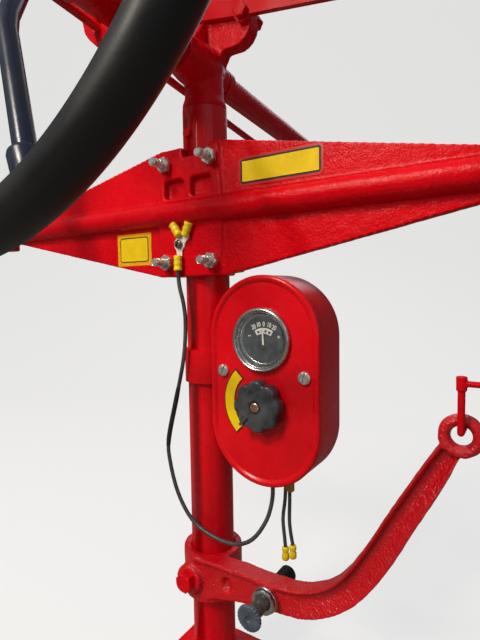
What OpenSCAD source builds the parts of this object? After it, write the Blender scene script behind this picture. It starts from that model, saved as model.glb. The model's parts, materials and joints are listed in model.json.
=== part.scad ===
// Steering post of a vintage farm tractor, with its wheel, instrument box and cross beam.
// Origin: underside of the foot, on the post's axis. X is to the right, Y ahead, Z up; sizes in mm.

/* [Post] */
// outer diameter of the post
post_d = 45; // [40:0.5:50]
// wall of the post tube
post_wall = 4; // [3:0.5:6]
// drop of the post tube's top edge under the shaft's axis
head_drop = 40; // [36:1:44]
// length of the head's spigot inside the post tube
head_spigot = 44; // [36:1:60]
// side of the square foot
foot_side = 128; // [120:1:140]
// thickness of the foot
foot_t = 12; // [10:1:16]
// corner radius of the foot
foot_corner_r = 14; // [8:1:20]
// spacing of the four foot bolts, both ways
foot_pitch = 92; // [88:1:96]
// hole for a foot bolt
foot_hole_d = 13.5; // [11:0.5:15]
// diameter of the foot's boss where it meets the plate
foot_boss_d = 74; // [66:1:80]
// height of the foot's boss above the plate
foot_boss_h = 26; // [18:1:34]

/* [Head and column] */
// height of the steering shaft's axis over the post
shaft_z = 650; // [646:1:656]
// rise of the steering shaft towards the driver
shaft_tilt = 4.6; // [3:0.2:7]
// diameter of the steering shaft
shaft_d = 25; // [24:0.5:26]
// radial clearance of the shaft in its bushes
shaft_fit = 0.06; // [0.03:0.01:0.1]
// radius of the sleeve that carries the shaft in the head
sleeve_r = 21.5; // [21:0.5:24]
// radius of that sleeve at its front end
sleeve_front_r = 16; // [15.5:0.5:18]
// radius of that sleeve at its rear end
sleeve_rear_r = 19; // [18.5:0.5:20]
// length of that sleeve ahead of the post's axis
sleeve_front = 26; // [24:1:30]
// length of that sleeve behind the post's axis
sleeve_rear = 44; // [36:1:52]
// outer diameter of the column tube
column_d = 36; // [34:0.5:40]
// rear end of the column tube, along the shaft
column_end = 164; // [158:1:166]
// length of the column tube's front end, inside the sleeve
column_in = 12; // [10:0.5:14]
// diameter of that front end
column_spigot_d = 33; // [32.5:0.5:34]
// radius of the neck under the sleeve
neck_r = 19.7; // [17:0.1:21]
// half width of the head's rest
rest_half = 56; // [54:0.5:60]
// rise of the rest's flat top over the shaft's axis
rest_up = 66; // [62:1:70]
// height of the rest under that top
rest_h = 52; // [44:1:54]
// radius of the rest's lower corners
rest_corner_r = 19; // [12:1:22]
// thickness of the rest
rest_t = 16; // [12:1:20]
// half length of the bar bolted to the rest
bar_half = 165; // [140:1:190]
// drop of the bar from its middle to its bolts
bar_bend = 11; // [8:1:16]
// drop of the bar from its middle to its tip
bar_drop = 28.5; // [20:0.5:40]
// height of the bar's section
bar_h = 19.5; // [17:0.5:24]
// thickness of the bar
bar_t = 6; // [5:0.5:9]
// half spacing of the bar's bolts
bar_bolt_x = 50; // [44:0.5:50]
// height of the bar's bolts over the shaft's axis
bar_bolt_up = 40; // [38:0.5:42]
// width of a bar bolt's head across its flats
bar_bolt_af = 13; // [11:0.5:14]
// radius of the bar's pads round its bolts
bar_pad_r = 9; // [8.5:0.5:10]

/* [Head screw] */
// sideways place of the screw that holds the head in the post
head_screw_x = -3; // [-5:0.5:5]
// drop of that screw under the shaft's axis
head_screw_drop = 67; // [62:1:70]
// diameter of its round pad on the post
head_screw_pad_d = 11; // [10:0.5:12]
// width of its head across the flats
head_screw_af = 8; // [7:0.5:9]

/* [Cross beam] */
// drop of the beam's centreline under the shaft's axis
beam_drop = 144; // [140:1:150]
// half length of the beam
beam_half = 336; // [300:1:360]
// half height of the beam at its middle
beam_half_h = 63; // [58:1:68]
// half width of the level middle part
beam_flat = 40; // [36:1:48]
// half height of the plate at the tips
beam_tip_h = 7; // [5:1:10]
// rear face of the beam, towards the driver
beam_face = 30; // [28:0.5:32]
// thickness of the beam's plate
beam_t = 9; // [8:0.5:12]
// height of the hub's face over the plate
hub_lift = 2; // [1:0.5:4]
// radius of the beam's long round rib
rib_r = 11.5; // [10:0.5:13]
// width of a pocket in the beam
pocket_w = 25; // [20:0.5:26]
// height of a pocket
pocket_h = 18.5; // [16:0.5:22]
// corner radius of a pocket
pocket_r = 4; // [2:0.5:6]
// depth of a pocket
pocket_deep = 7; // [5:0.5:7.2]
// half spacing of the pockets' centres
pocket_x = 16.7; // [16:0.1:19]
// sideways place of the middle between the pockets
pocket_mid = -1.5; // [-3:0.5:3]
// height of the pockets' centres over the centreline
pocket_up = 24.3; // [23:0.1:26]
// sideways place of the notch in the hub's top edge, which bares the post
notch_x = 8.5; // [4:0.5:12]
// width of that notch
notch_w = 31; // [26:0.5:34]
// height of that notch
notch_h = 9.5; // [6:0.5:10]
// outer radius of the lamp bosses at the tips
tip_boss_r = 17; // [15:0.5:20]
// bore of the lamp bosses
tip_bore_d = 16; // [12:0.5:20]
// height of the lamp bosses
tip_boss_h = 40; // [30:1:48]

/* [Beam clamp] */
// half spacing of the studs across
stud_x = 28; // [27:0.5:30]
// half spacing of the studs in height
stud_up = 48.5; // [44:0.5:52]
// diameter of the studs
stud_d = 8; // [7:0.5:9]
// length of stud that stands out of the beam's face
stud_out = 21; // [16:1:26]
// width of a nut across its flats
nut_af = 14; // [13:0.5:16]
// thickness of a nut
nut_t = 6; // [5:0.5:8]
// half width of the clamp behind the post
clamp_half = 38; // [36:1:44]
// depth of the clamp behind the post's axis
clamp_deep = 32; // [28:1:36]
// gap between the beam's saddle and the clamp
clamp_gap = 3; // [2:0.5:5]

/* [Instrument box] */
// sideways place of the box's middle
box_x = 82; // [81:0.5:86]
// drop of the box's middle under the beam's centreline
box_drop = 160.5; // [160.5:0.5:166]
// width of the box
box_w = 112.5; // [108:0.5:116]
// height of the box
box_h = 193.5; // [185:0.5:200]
// face of the box's cover, towards the driver
box_face = 31; // [29:0.5:34]
// depth of the box behind its cover
box_deep = 46; // [40:1:50]
// wall of the box
box_wall = 2; // [1.5:0.25:3]
// thickness of the cover
cover_t = 3; // [2:0.25:4]
// width of the raised bead round the cover
bead_w = 6.5; // [5:0.25:7]
// height of the bead
bead_t = 2; // [1:0.25:2.5]
// height of the gauge over the box's middle
gauge_up = 38.5; // [36:0.5:41]
// drop of the switch under the box's middle
switch_down = 20.5; // [16:0.5:26]
// half spacing of the cover screws
cover_screw_x = 42; // [40:0.5:44]
// height of the cover screws over the box's middle
cover_screw_up = 7.5; // [4:0.5:10]
// head of a cover screw
cover_screw_d = 11.5; // [9:0.5:12]
// height of the box's strap over the box's middle
strap_up = 6.5; // [0:0.5:20]
// width of that strap
strap_h = 34; // [28:1:40]
// thickness of that strap
strap_t = 3; // [2.5:0.25:4]

/* [Gauge] */
// outer diameter of the gauge's bezel
bezel_d = 58.7; // [56:0.1:62]
// clear diameter inside the bezel
bezel_clear_d = 48; // [45:0.5:50]
// height of the bezel over the cover
bezel_t = 5; // [4:0.25:7]
// depth of the gauge's can behind the cover
gauge_deep = 24; // [18:1:30]
// length of the needle from its pivot
needle_len = 15; // [12:0.5:17]
// angle of the needle from upright
needle_angle = 2; // [-30:1:30]

/* [Switch] */
// largest diameter of the switch knob
knob_d = 47; // [44:0.5:50]
// height of the knob over the cover
knob_h = 14; // [10:0.5:18]
// number of scallops round the knob
knob_scallops = 8; // [6:1:10]
// depth of a scallop
scallop_deep = 2.2; // [1:0.1:3]
// head of the knob's screw
knob_screw_d = 9; // [7:0.5:11]
// inner radius of the yellow arc left of the knob
arc_in_r = 29.5; // [27:0.5:31]
// outer radius of the yellow arc
arc_out_r = 41.3; // [39:0.1:44]
// angle of the arc each way from level
arc_half = 47; // [40:1:55]

/* [Arm] */
// drop of the arm's flange at the post under the box's middle
arm_drop = 187.5; // [186:0.5:196]
// height of the arm's ring
arm_ring_h = 50; // [44:1:56]
// outer radius of the arm's ring
arm_ring_r = 31; // [30:0.5:33]
// front edge of the arm's upper flange, towards the driver
arm_face = 34; // [33:0.5:38]
// width of the arm's upper flange
arm_w = 20; // [16:0.5:24]
// reach of the flange's front edge over the arm's plate
arm_rise = 5; // [3:0.5:6]
// thickness of the arm's plate
arm_web = 8; // [6:0.5:10]
// radius of the boss round the arm's bolt
arm_boss_r = 15; // [12:0.5:16]
// thickness of the arm's upper flange
flange_t = 5; // [4:0.5:7]
// sideways place of the eye
eye_x = 246; // [240:0.5:252]
// height of the eye over the arm's flange at the post
eye_up = 164; // [158:0.5:170]
// outer radius of the eye
eye_r = 15.5; // [14.5:0.5:17]
// radius of the eye's hole
eye_hole_r = 8; // [7:0.25:9]

/* [Pull switch] */
// sideways place of the pull switch
pull_x = 84; // [80:0.5:88]
// drop of the pull switch under the arm's flange at the post
pull_drop = 16; // [14:0.5:18]
// diameter of the pull knob
pull_knob_d = 24; // [20:0.5:26]
// thickness of the pull knob
pull_knob_t = 6; // [4:0.5:8]
// diameter of its stem
pull_stem_d = 12; // [9:0.5:14]
// reach of the knob's face from the arm's face
pull_out = 30; // [24:1:36]
// diameter of the bright nut round the stem
pull_nut_d = 25; // [22:0.5:27]

/* [Throttle rod] */
// sideways place of the throttle rod
rod_x = -36; // [-40:0.5:-34]
// drop of the rod beside the post under the shaft's axis
rod_drop = 5; // [2:0.5:10]
// fall of the rod towards the front
rod_tilt = 7; // [5:0.25:9]
// diameter of the throttle rod
rod_d = 8; // [6:0.5:10]
// length of the rod ahead of the post
rod_front = 300; // [250:5:330]
// length of the rod behind the post
rod_rear = 160; // [154:1:162]
// length of the throttle lever
lever_len = 62; // [50:1:70]
// angle of the throttle lever over the level, on the left
lever_angle = 35; // [20:1:60]
// diameter of the lever's root on the rod
lever_root_d = 14; // [12:0.5:16]
// length of the throttle lever's knob
lever_knob_len = 20; // [16:1:22]
// place of the rod's bracket along the column
rod_bracket_at = 97; // [90:1:105]
// length of that bracket's ring on the column
rod_ring_len = 24; // [18:1:30]
// wall of that ring
rod_ring_wall = 9; // [7:0.5:10]
// thickness of the bracket's plate
rod_plate_t = 16; // [12:1:20]

/* [Steering wheel] */
// place of the rim along the shaft
rim_at = 238; // [230:1:245]
// radius of the rim's centreline
rim_r = 212.5; // [205:0.5:220]
// thickness of the rim
rim_t = 28; // [25:0.5:31]
// number of spokes
spokes = 3; // [3:1:4]
// turn of the first spoke from the right, towards the top
spoke_turn = 294; // [0:1:359]
// thickness of a spoke
spoke_d = 12; // [10:0.5:14]
// radius at which a spoke bends
bend_r = 98; // [80:1:120]
// distance of that bend ahead of the rim
bend_ahead = 10; // [4:1:16]
// diameter of the collar where a spoke enters the rim
spoke_collar_d = 17; // [15:0.5:20]
// distance of the hub ahead of the rim
hub_dish = 44; // [38:1:50]
// radius of the hub
hub_r = 30; // [27:0.5:34]
// height of the hub
hub_h = 36; // [30:1:40]
// width of the hub's nut across its flats
hub_nut_af = 38; // [34:1:42]
// length of the shaft ahead of the post
shaft_front = 320; // [250:5:340]
// length of the coupling at the shaft's front end
coupling_len = 60; // [50:1:70]
// outer diameter of the coupling
coupling_d = 42; // [36:0.5:46]
// bore of the coupling for the shaft ahead
coupling_bore_d = 22; // [19:0.5:23]

/* [Leads] */
// diameter of the ground lead
ground_d = 4; // [3:0.25:5]
// outer diameter of the ground terminal's ring
ring_d = 14; // [13:0.5:17]
// diameter of the ground terminal's three sleeves
terminal_d = 8; // [6:0.5:8]
// start of the sleeves, from the ground screw
sleeve_start = 10; // [10:0.5:12]
// reach of its lower sleeve under the ground screw
terminal_down = 26; // [24:0.2:30]
// diameter of the two short leads
pigtail_d = 3.5; // [3:0.25:4.5]

/* [Hidden] */
$fn = 64;
post_r = post_d / 2;
post_top_z = shaft_z - head_drop;
beam_z = shaft_z - beam_drop;
box_z = beam_z - box_drop;
strap_z = box_z + strap_up;
arm_top_z = box_z - arm_drop;
eye_z = arm_top_z + eye_up;
pull_z = arm_top_z - pull_drop;
round_r = box_w / 2;
round_up = box_h / 2 - round_r;
gauge_z = box_z + gauge_up;
switch_z = box_z - switch_down;
box_front = box_face - cover_t;
box_back = box_deep - box_front;
bottom_z = box_z - box_h / 2;
grommet_z = bottom_z - 3;
seat_gap = 0.3;
rest_top_z = shaft_z + rest_up;
bar_bolt_z = shaft_z + bar_bolt_up;
rod_z = shaft_z - rod_drop;
head_screw_out = post_r + 0.5;
arm_ring_z = arm_top_z - arm_ring_h;
plate_back = arm_face - arm_rise - arm_web;
ground_out = beam_face + terminal_d / 2 + 0.5;

// sideways place, depth and hole of each grommet in the box's bottom
grommets = [[80, -10, 8], [90, 2, 12]];
// sideways place and height of the ground screw
ground_at = [-11, beam_z - 31];
// sideways place and height of the bolt in the arm's ring
arm_bolt_at = [-7, arm_top_z - 27];
// middle line of the arm: sideways place, height over the flange at the post and half width
arm_line = [[0, -24, 23], [50, -17, 17.5], [85, -15, 15.2], [116, -11, 13.5], [139, -1, 12],
  [158, 13.5, 11.5], [174, 34, 11.5], [190, 61, 11.5], [203, 86, 11], [226, 128, 10],
  [238, 151, 8], [eye_x, eye_up, 7]];
// outline of the rod's bracket left of the column: sideways and up from the shaft's axis
bracket_line = [[0, 26], [-28, 21], [-41, 25], [-51, 24], [-58, 16], [-55, 5], [-52, -2], [-46, -9],
  [-36, -18], [-14, -26], [0, -26]];
// the bracket's two small bosses: sideways, up and radius
bracket_bosses = [[-48, 17, 6.5], [-36, 10, 8]];
// turn from upright and reach of each sleeve of the ground terminal
terminal_sleeves = [[-9, 19.3], [36, 21], [180, terminal_down]];
// course of the ground lead under its terminal: sideways, ahead and up from the box's middle
ground_run = [[-10.5, -33.5, 88], [-7, -32, 70], [-6, -31, 50], [-10, -30, 16.5], [-21, -30, -26.5],
  [-33, -30, -71.5], [-32, -30, -95.5], [-22, -30, -127.5], [-4, -30, -151.5], [20, -30, -161.5],
  [46, -29, -163.5], [65, -25, -155.5], [76, -16, -137.5], [80, -11, -117.5]];
ground_line = concat([[ground_at[0], -ground_out, ground_at[1] - terminal_down]],
  [for (p = ground_run) p + [0, 0, box_z]], [[80, -10, grommet_z]]);
// courses of the two short leads under their grommet, measured the same way
short_runs = [[[88, 2], [87, 2, -120.5], [85, 1, -140.5], [87, 0, -157.5], [88, 0, -167.5]],
  [[92, 2], [92, 2, -120.5], [92, 1, -140.5], [94, 0, -153.5], [96, 0, -163.5]]];
short_lines = [for (run = short_runs) concat([[run[0][0], run[0][1], grommet_z]],
  [for (i = [1 : len(run) - 1]) run[i] + [0, 0, box_z]])];

RED = [0.80, 0.06, 0.08];
BLACK = [0.06, 0.06, 0.07];
STEEL = [0.70, 0.71, 0.72];
CHROME = [0.85, 0.86, 0.88];
YELLOW = [0.95, 0.79, 0.08];
BRASS = [0.80, 0.62, 0.28];

// Puts its children on the steering shaft: x right, y up, z towards the driver.
module on_shaft(at = 0) {
  translate([0, 0, shaft_z]) rotate([90 - shaft_tilt, 0, 0]) translate([0, 0, at]) children();
}

// Points its children's z towards the driver, at a place on the plane y = -out.
module facing(x, z, out) {
  translate([x, -out, z]) rotate([90, 0, 0]) children();
}

// Draws an xz outline and gives it a thickness from y = -front back to y = -front + t.
module slab(front, t) {
  translate([0, t - front, 0]) rotate([90, 0, 0]) linear_extrude(t) children();
}

module hex(af, h) {
  cylinder(d = af / cos(30), h = h, $fn = 6);
}

// The foot is the post's flange.
module foot() {
  color(RED) difference() {
    union() {
      linear_extrude(foot_t) round_rect(foot_side, foot_side, foot_corner_r);
      rotate_extrude() polygon([[0, foot_t - 1], [foot_boss_d / 2, foot_t - 1],
        [foot_boss_d / 2, foot_t], [foot_boss_d / 2 - 6, foot_t + 4],
        [post_r + 5, foot_t + foot_boss_h], [0, foot_t + foot_boss_h]]);
    }
    for (x = [-1, 1], y = [-1, 1]) translate([x * foot_pitch / 2, y * foot_pitch / 2, -1])
      cylinder(d = foot_hole_d, h = foot_t + 2);
    translate([0, 0, -1]) cylinder(r = post_r, h = foot_t + foot_boss_h + 2);
  }
}

// A rectangle of w by h with round corners.
module round_rect(w, h, r) {
  square([w, h - 2 * r], center = true);
  square([w - 2 * r, h], center = true);
  for (x = [-1, 1], y = [-1, 1]) translate([x * (w / 2 - r), y * (h / 2 - r)]) circle(r = r);
}

module post_tube() {
  color(RED) difference() {
    union() {
      cylinder(r = post_r, h = post_top_z);
      facing(head_screw_x, shaft_z - head_screw_drop, post_r - post_wall / 2)
        cylinder(d = head_screw_pad_d, h = head_screw_out - post_r + post_wall / 2);
    }
    translate([0, 0, -1]) cylinder(r = post_r - post_wall, h = post_top_z + 2);
  }
}

// The screw that holds the head's lower end in the post.
module head_screw() {
  color(RED) facing(head_screw_x, shaft_z - head_screw_drop, head_screw_out) {
    cylinder(d = head_screw_pad_d - 1, h = 1);
    hex(head_screw_af, 4.5);
  }
}

// The head: a neck on a ring, a sleeve for the shaft and a rest for the bar.
module head_casting() {
  color(RED) difference() {
    union() {
      translate([0, 0, post_top_z]) rotate_extrude() polygon([[0, -head_spigot],
        [post_r - post_wall, -head_spigot], [post_r - post_wall, 0], [post_r - 0.2, 0],
        [post_r - 0.2, 5], [neck_r + 1.3, 8.5], [neck_r, 12], [neck_r, head_drop + 8],
        [0, head_drop + 8]]);
      on_shaft() rotate_extrude() polygon([[0, -sleeve_front], [sleeve_front_r, -sleeve_front],
        [sleeve_front_r, -16], [sleeve_r - 1, -4], [sleeve_r, 8], [sleeve_r, 20],
        [sleeve_rear_r, sleeve_rear - column_in], [sleeve_rear_r, sleeve_rear], [0, sleeve_rear]]);
      slab(0, rest_t) rest_outline();
      translate([-5, 0, 0]) rotate([90, 0, 90]) linear_extrude(10)
        polygon([[-sleeve_rear + 12, shaft_z + 10], [-6, rest_top_z - bar_h - 3],
          [0, rest_top_z - bar_h - 3], [0, rest_top_z - 8], [rest_t + 6, rest_top_z - 8],
          [sleeve_front - 4, shaft_z + 10]]);
    }
    on_shaft(-sleeve_front - 1)
      cylinder(r = shaft_d / 2 + shaft_fit, h = sleeve_front + sleeve_rear + 2);
    on_shaft(sleeve_rear - column_in) cylinder(d = column_spigot_d, h = column_in + 2);
    for (x = [-1, 1]) facing(x * bar_bolt_x, bar_bolt_z, -rest_t - 1) cylinder(d = 8, h = rest_t + 2);
  }
}

// The rest seen from the driver, with the flare under it.
module rest_outline() {
  low_z = rest_top_z - rest_h;
  corner_x = rest_half - rest_corner_r;
  translate([-rest_half, low_z + rest_corner_r])
    square([2 * rest_half, rest_h - rest_corner_r]);
  translate([-corner_x, low_z]) square([2 * corner_x, rest_h]);
  for (x = [-1, 1]) translate([x * corner_x, low_z + rest_corner_r]) circle(r = rest_corner_r);
  polygon([[-sleeve_r - 1, low_z + 6], [-sleeve_r - 1, low_z - 2], [-sleeve_front_r, shaft_z + 2],
    [sleeve_front_r, shaft_z + 2], [sleeve_r + 1, low_z - 2], [sleeve_r + 1, low_z + 6]]);
}

module head_bar() {
  low_z = rest_top_z - bar_h;
  color(RED) difference() {
    union() {
      slab(bar_t, bar_t) polygon([[-bar_half, rest_top_z - bar_drop],
        [-rest_half, rest_top_z - bar_bend], [0, rest_top_z], [rest_half, rest_top_z - bar_bend],
        [bar_half, rest_top_z - bar_drop], [bar_half, low_z - bar_drop],
        [rest_half, low_z - bar_bend], [0, low_z], [-rest_half, low_z - bar_bend],
        [-bar_half, low_z - bar_drop]]);
      for (x = [-1, 1]) facing(x * bar_bolt_x, bar_bolt_z, 0) cylinder(r = bar_pad_r, h = bar_t);
    }
    for (x = [-1, 1]) facing(x * bar_bolt_x, bar_bolt_z, -1) cylinder(d = 8, h = bar_t + 2);
  }
}

module head_bar_bolts() {
  color(RED) for (x = [-1, 1]) {
    facing(x * bar_bolt_x, bar_bolt_z, bar_t) hex(bar_bolt_af, 5.5);
    facing(x * bar_bolt_x, bar_bolt_z, -rest_t - 8) cylinder(d = 8, h = rest_t + 8 + bar_t);
    facing(x * bar_bolt_x, bar_bolt_z, -rest_t - 6.5) hex(bar_bolt_af, 6.5);
  }
}

module column_tube() {
  start = sleeve_rear - column_in;
  bush = 22;
  color(RED) on_shaft() difference() {
    union() {
      translate([0, 0, start]) cylinder(d = column_spigot_d, h = column_in + 1);
      translate([0, 0, sleeve_rear]) cylinder(d = column_d, h = column_end - sleeve_rear);
      translate([0, 0, column_end - 10]) cylinder(d = column_d + 5, h = 10);
    }
    translate([0, 0, start - 1]) cylinder(d = shaft_d + 5, h = column_end - bush - start + 1);
    translate([0, 0, start]) cylinder(r = shaft_d / 2 + shaft_fit, h = column_end);
  }
}

module rod_bracket() {
  color(RED) difference() {
    union() {
      on_shaft(rod_bracket_at - rod_ring_len / 2)
        cylinder(d = column_d + 2 * rod_ring_wall, h = rod_ring_len);
      on_shaft(rod_bracket_at - rod_plate_t / 2) linear_extrude(rod_plate_t) polygon(bracket_line);
      on_shaft(rod_bracket_at) for (b = bracket_bosses) translate([b[0], b[1], 0])
        cylinder(r = b[2], h = rod_ring_len / 2);
    }
    on_shaft(rod_bracket_at - rod_ring_len) cylinder(d = column_d, h = 2 * rod_ring_len);
    on_rod(rod_bracket_at - rod_ring_len) cylinder(d = rod_d, h = 2 * rod_ring_len);
  }
}

// Puts its children on the throttle rod: z towards the driver.
module on_rod(at = 0) {
  translate([rod_x, 0, rod_z]) rotate([90 - rod_tilt, 0, 0]) translate([0, 0, at]) children();
}

module throttle_rod() {
  color(RED) on_rod(-rod_front) cylinder(d = rod_d, h = rod_front + rod_rear);
}

module throttle_lever() {
  color(RED) on_rod(rod_rear - 5) rotate([0, 0, 180 - lever_angle]) difference() {
    union() {
      cylinder(d = lever_root_d, h = 5);
      translate([0, -6, 0]) cube([lever_len, 12, 5]);
      translate([lever_len, 0, 0]) cylinder(d = lever_root_d, h = 5);
    }
    translate([0, 0, -1]) cylinder(d = rod_d, h = 7);
  }
}

module throttle_knob() {
  color(BLACK) on_rod(rod_rear) rotate([0, 0, 180 - lever_angle]) translate([lever_len, 0, 0])
    rotate_extrude() polygon([[0, 0], [5.5, 0], [6.5, lever_knob_len * 0.3],
      [8, lever_knob_len * 0.6], [7, lever_knob_len * 0.85], [4, lever_knob_len * 0.97],
      [0, lever_knob_len]]);
}

// The cast beam, with a hub round the front of the post.
module cross_beam() {
  mid = beam_face - clamp_gap / 2;
  color(RED) difference() {
    union() {
      slab(beam_face - hub_lift, beam_t) translate([0, beam_z]) polygon([
        [-beam_flat, beam_half_h], [beam_flat, beam_half_h],
        [beam_half - tip_boss_r, beam_tip_h], [beam_half - tip_boss_r, -beam_tip_h],
        [beam_flat, -beam_half_h], [-beam_flat, -beam_half_h],
        [tip_boss_r - beam_half, -beam_tip_h], [tip_boss_r - beam_half, beam_tip_h]]);
      slab(beam_face, mid) translate([0, beam_z]) beam_hub();
      translate([tip_boss_r - beam_half, 1 - beam_face, beam_z]) rotate([0, 90, 0])
        cylinder(r = rib_r, h = 2 * (beam_half - tip_boss_r));
      for (x = [-1, 1]) at_tip(x) cylinder(r = tip_boss_r, h = tip_boss_h);
    }
    translate([0, 0, beam_z - beam_half_h - 1]) cylinder(r = post_r, h = 2 * beam_half_h + 2);
    translate([notch_x - notch_w / 2, -beam_face - 1, beam_z + beam_half_h - notch_h])
      cube([notch_w, beam_face + 1, notch_h + 1]);
    for (x = [-1, 1]) {
      at_tip(x) translate([0, 0, -1]) cylinder(d = tip_bore_d, h = tip_boss_h + 2);
      slab(beam_face + 1, pocket_deep + 1) translate([pocket_mid + x * pocket_x, beam_z + pocket_up])
        round_rect(pocket_w, pocket_h, pocket_r);
      for (z = [-1, 1]) facing(x * stud_x, beam_z + z * stud_up, -1)
        cylinder(d = stud_d, h = beam_face + 2);
    }
  }
}

// Outline of the beam's hub, a little narrower at its top and bottom.
module beam_hub() {
  polygon([[-beam_flat + 4, beam_half_h], [beam_flat - 4, beam_half_h], [beam_flat, 0],
    [beam_flat - 4, -beam_half_h], [-beam_flat + 4, -beam_half_h], [-beam_flat, 0]]);
}

module at_tip(side) {
  translate([side * (beam_half - tip_boss_r), 1 - beam_face, beam_z - tip_boss_h / 2]) children();
}

module beam_clamp() {
  half = stud_up + 11;
  deep = clamp_deep + 8;
  color(RED) difference() {
    translate([0, 0, beam_z - half]) linear_extrude(2 * half) difference() {
      union() {
        circle(r = clamp_deep);
        translate([-clamp_half, 0]) square([2 * clamp_half, 14]);
      }
      circle(r = post_r);
      translate([-2 * clamp_half, -2 * clamp_half])
        square([4 * clamp_half, 2 * clamp_half + clamp_gap / 2]);
    }
    for (x = [-1, 1], z = [-1, 1]) facing(x * stud_x, beam_z + z * stud_up, -deep)
      cylinder(d = stud_d, h = deep);
    for (x = [-1, 1], z = [-1, 1]) facing(x * stud_x, beam_z + z * stud_up, -deep)
      cylinder(d = 20, h = deep - 14);
  }
}

module beam_studs() {
  color(STEEL) for (x = [-1, 1], z = [-1, 1])
    facing(x * stud_x, beam_z + z * stud_up, -14 - nut_t - 3)
      cylinder(d = stud_d, h = 14 + nut_t + 3 + beam_face + stud_out);
}

module beam_nuts() {
  color(STEEL) for (x = [-1, 1], z = [-1, 1]) {
    facing(x * stud_x, beam_z + z * stud_up, beam_face) stud_nut();
    facing(x * stud_x, beam_z + z * stud_up, -14 - nut_t) stud_nut();
  }
}

module stud_nut() {
  difference() {
    hex(nut_af, nut_t);
    translate([0, 0, -1]) cylinder(d = stud_d, h = nut_t + 2);
  }
}

// Outline of the box, round at its top and bottom, made smaller all round by inset.
module stadium(inset = 0) {
  r = round_r - inset;
  translate([box_x, box_z]) {
    translate([0, round_up]) circle(r = r, $fn = 128);
    translate([0, -round_up]) circle(r = r, $fn = 128);
    square([2 * r, 2 * round_up], center = true);
  }
}

module box_shell() {
  color(RED) difference() {
    slab(box_front, box_deep) stadium();
    slab(box_front + 1, box_deep + 1 - box_wall) stadium(box_wall);
    for (g = grommets) translate([g[0], g[1], bottom_z - 5]) cylinder(d = g[2], h = 30);
  }
}

module box_cover() {
  color(RED) {
    slab(box_face, cover_t) stadium();
    slab(box_face + bead_t, bead_t) difference() {
      stadium();
      stadium(bead_w);
    }
  }
}

module box_strap() {
  color(RED) difference() {
    union() {
      translate([0, 0, strap_z - strap_h / 2]) cylinder(r = post_r + strap_t, h = strap_h);
      translate([0, box_back, strap_z - strap_h / 2]) cube([box_x + 20, strap_t, strap_h]);
    }
    translate([0, 0, strap_z - strap_h]) cylinder(r = post_r, h = 2 * strap_h);
  }
}

module strap_bolts() {
  color(STEEL) for (x = [-18, 10])
    facing(box_x + x, strap_z, -box_back - strap_t - 5) hex(11, 5);
}

module cover_screws() {
  color(STEEL) for (x = [-1, 1])
    facing(box_x + x * cover_screw_x, box_z + cover_screw_up, box_face) difference() {
      rotate_extrude() polygon([[0, 0], [cover_screw_d / 2, 0], [cover_screw_d / 2, 1],
        [cover_screw_d / 3, 2.4], [0, 2.8]]);
      translate([-cover_screw_d, -0.6, 1.6]) cube([2 * cover_screw_d, 1.2, 3]);
    }
}

module gauge_bezel() {
  r = bezel_d / 2;
  inner = bezel_clear_d / 2;
  color(CHROME) facing(box_x, gauge_z, box_face) rotate_extrude($fn = 96) difference() {
    union() {
      translate([inner, 0]) square([r - inner, bezel_t - 2]);
      translate([inner, 0]) square([r - inner - 2, bezel_t]);
      translate([r - 2, bezel_t - 2]) circle(r = 2, $fn = 32);
    }
  }
}

module gauge_dial() {
  color(BLACK) facing(box_x, gauge_z, box_face) cylinder(d = bezel_clear_d, h = 1.5, $fn = 96);
}

module gauge_needle() {
  color([0.95, 0.95, 0.92]) facing(box_x, gauge_z - 8, box_face + 1.5) rotate([0, 0, needle_angle]) {
    cylinder(d = 5, h = 1.6);
    translate([0, 0, 0.6]) linear_extrude(0.6) polygon([[-1, -4], [1, -4], [0.4, needle_len],
      [-0.4, needle_len]]);
  }
}

module gauge_glass() {
  color([0.8, 0.85, 0.9, 0.3]) facing(box_x, gauge_z, box_face + 3.4)
    cylinder(d = bezel_clear_d, h = 1, $fn = 96);
}

module switch_legend() {
  arc_wide = arc_out_r + 5;
  color(YELLOW) facing(box_x, switch_z, box_face) linear_extrude(0.8) difference() {
    intersection() {
      circle(r = arc_out_r, $fn = 96);
      polygon([[0, 0], [-arc_wide, -arc_wide * tan(arc_half)], [-arc_wide, arc_wide * tan(arc_half)]]);
    }
    circle(r = arc_in_r, $fn = 96);
  }
}

module switch_knob() {
  r = knob_d / 2;
  color(BLACK) facing(box_x, switch_z, box_face) {
    cylinder(d = 12, h = 1.6);
    translate([0, 0, 1]) difference() {
      union() {
        cylinder(r = r, h = knob_h - 4);
        translate([0, 0, knob_h - 4]) cylinder(r = r - 3, h = 3);
      }
      for (i = [0 : knob_scallops - 1]) rotate([0, 0, (i + 0.5) * 360 / knob_scallops])
        translate([r + 7 - scallop_deep, 0, -1]) cylinder(r = 7, h = knob_h + 2, $fn = 32);
    }
  }
}

module knob_screw() {
  color(BRASS) facing(box_x, switch_z, box_face + knob_h) difference() {
    cylinder(d = knob_screw_d, h = 2);
    translate([-knob_screw_d, -0.6, 1]) cube([2 * knob_screw_d, 1.2, 2]);
  }
}

module lead_grommets() {
  color(BLACK) for (g = grommets) translate([g[0], g[1], grommet_z]) cylinder(d = g[2], h = 9);
}

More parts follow.
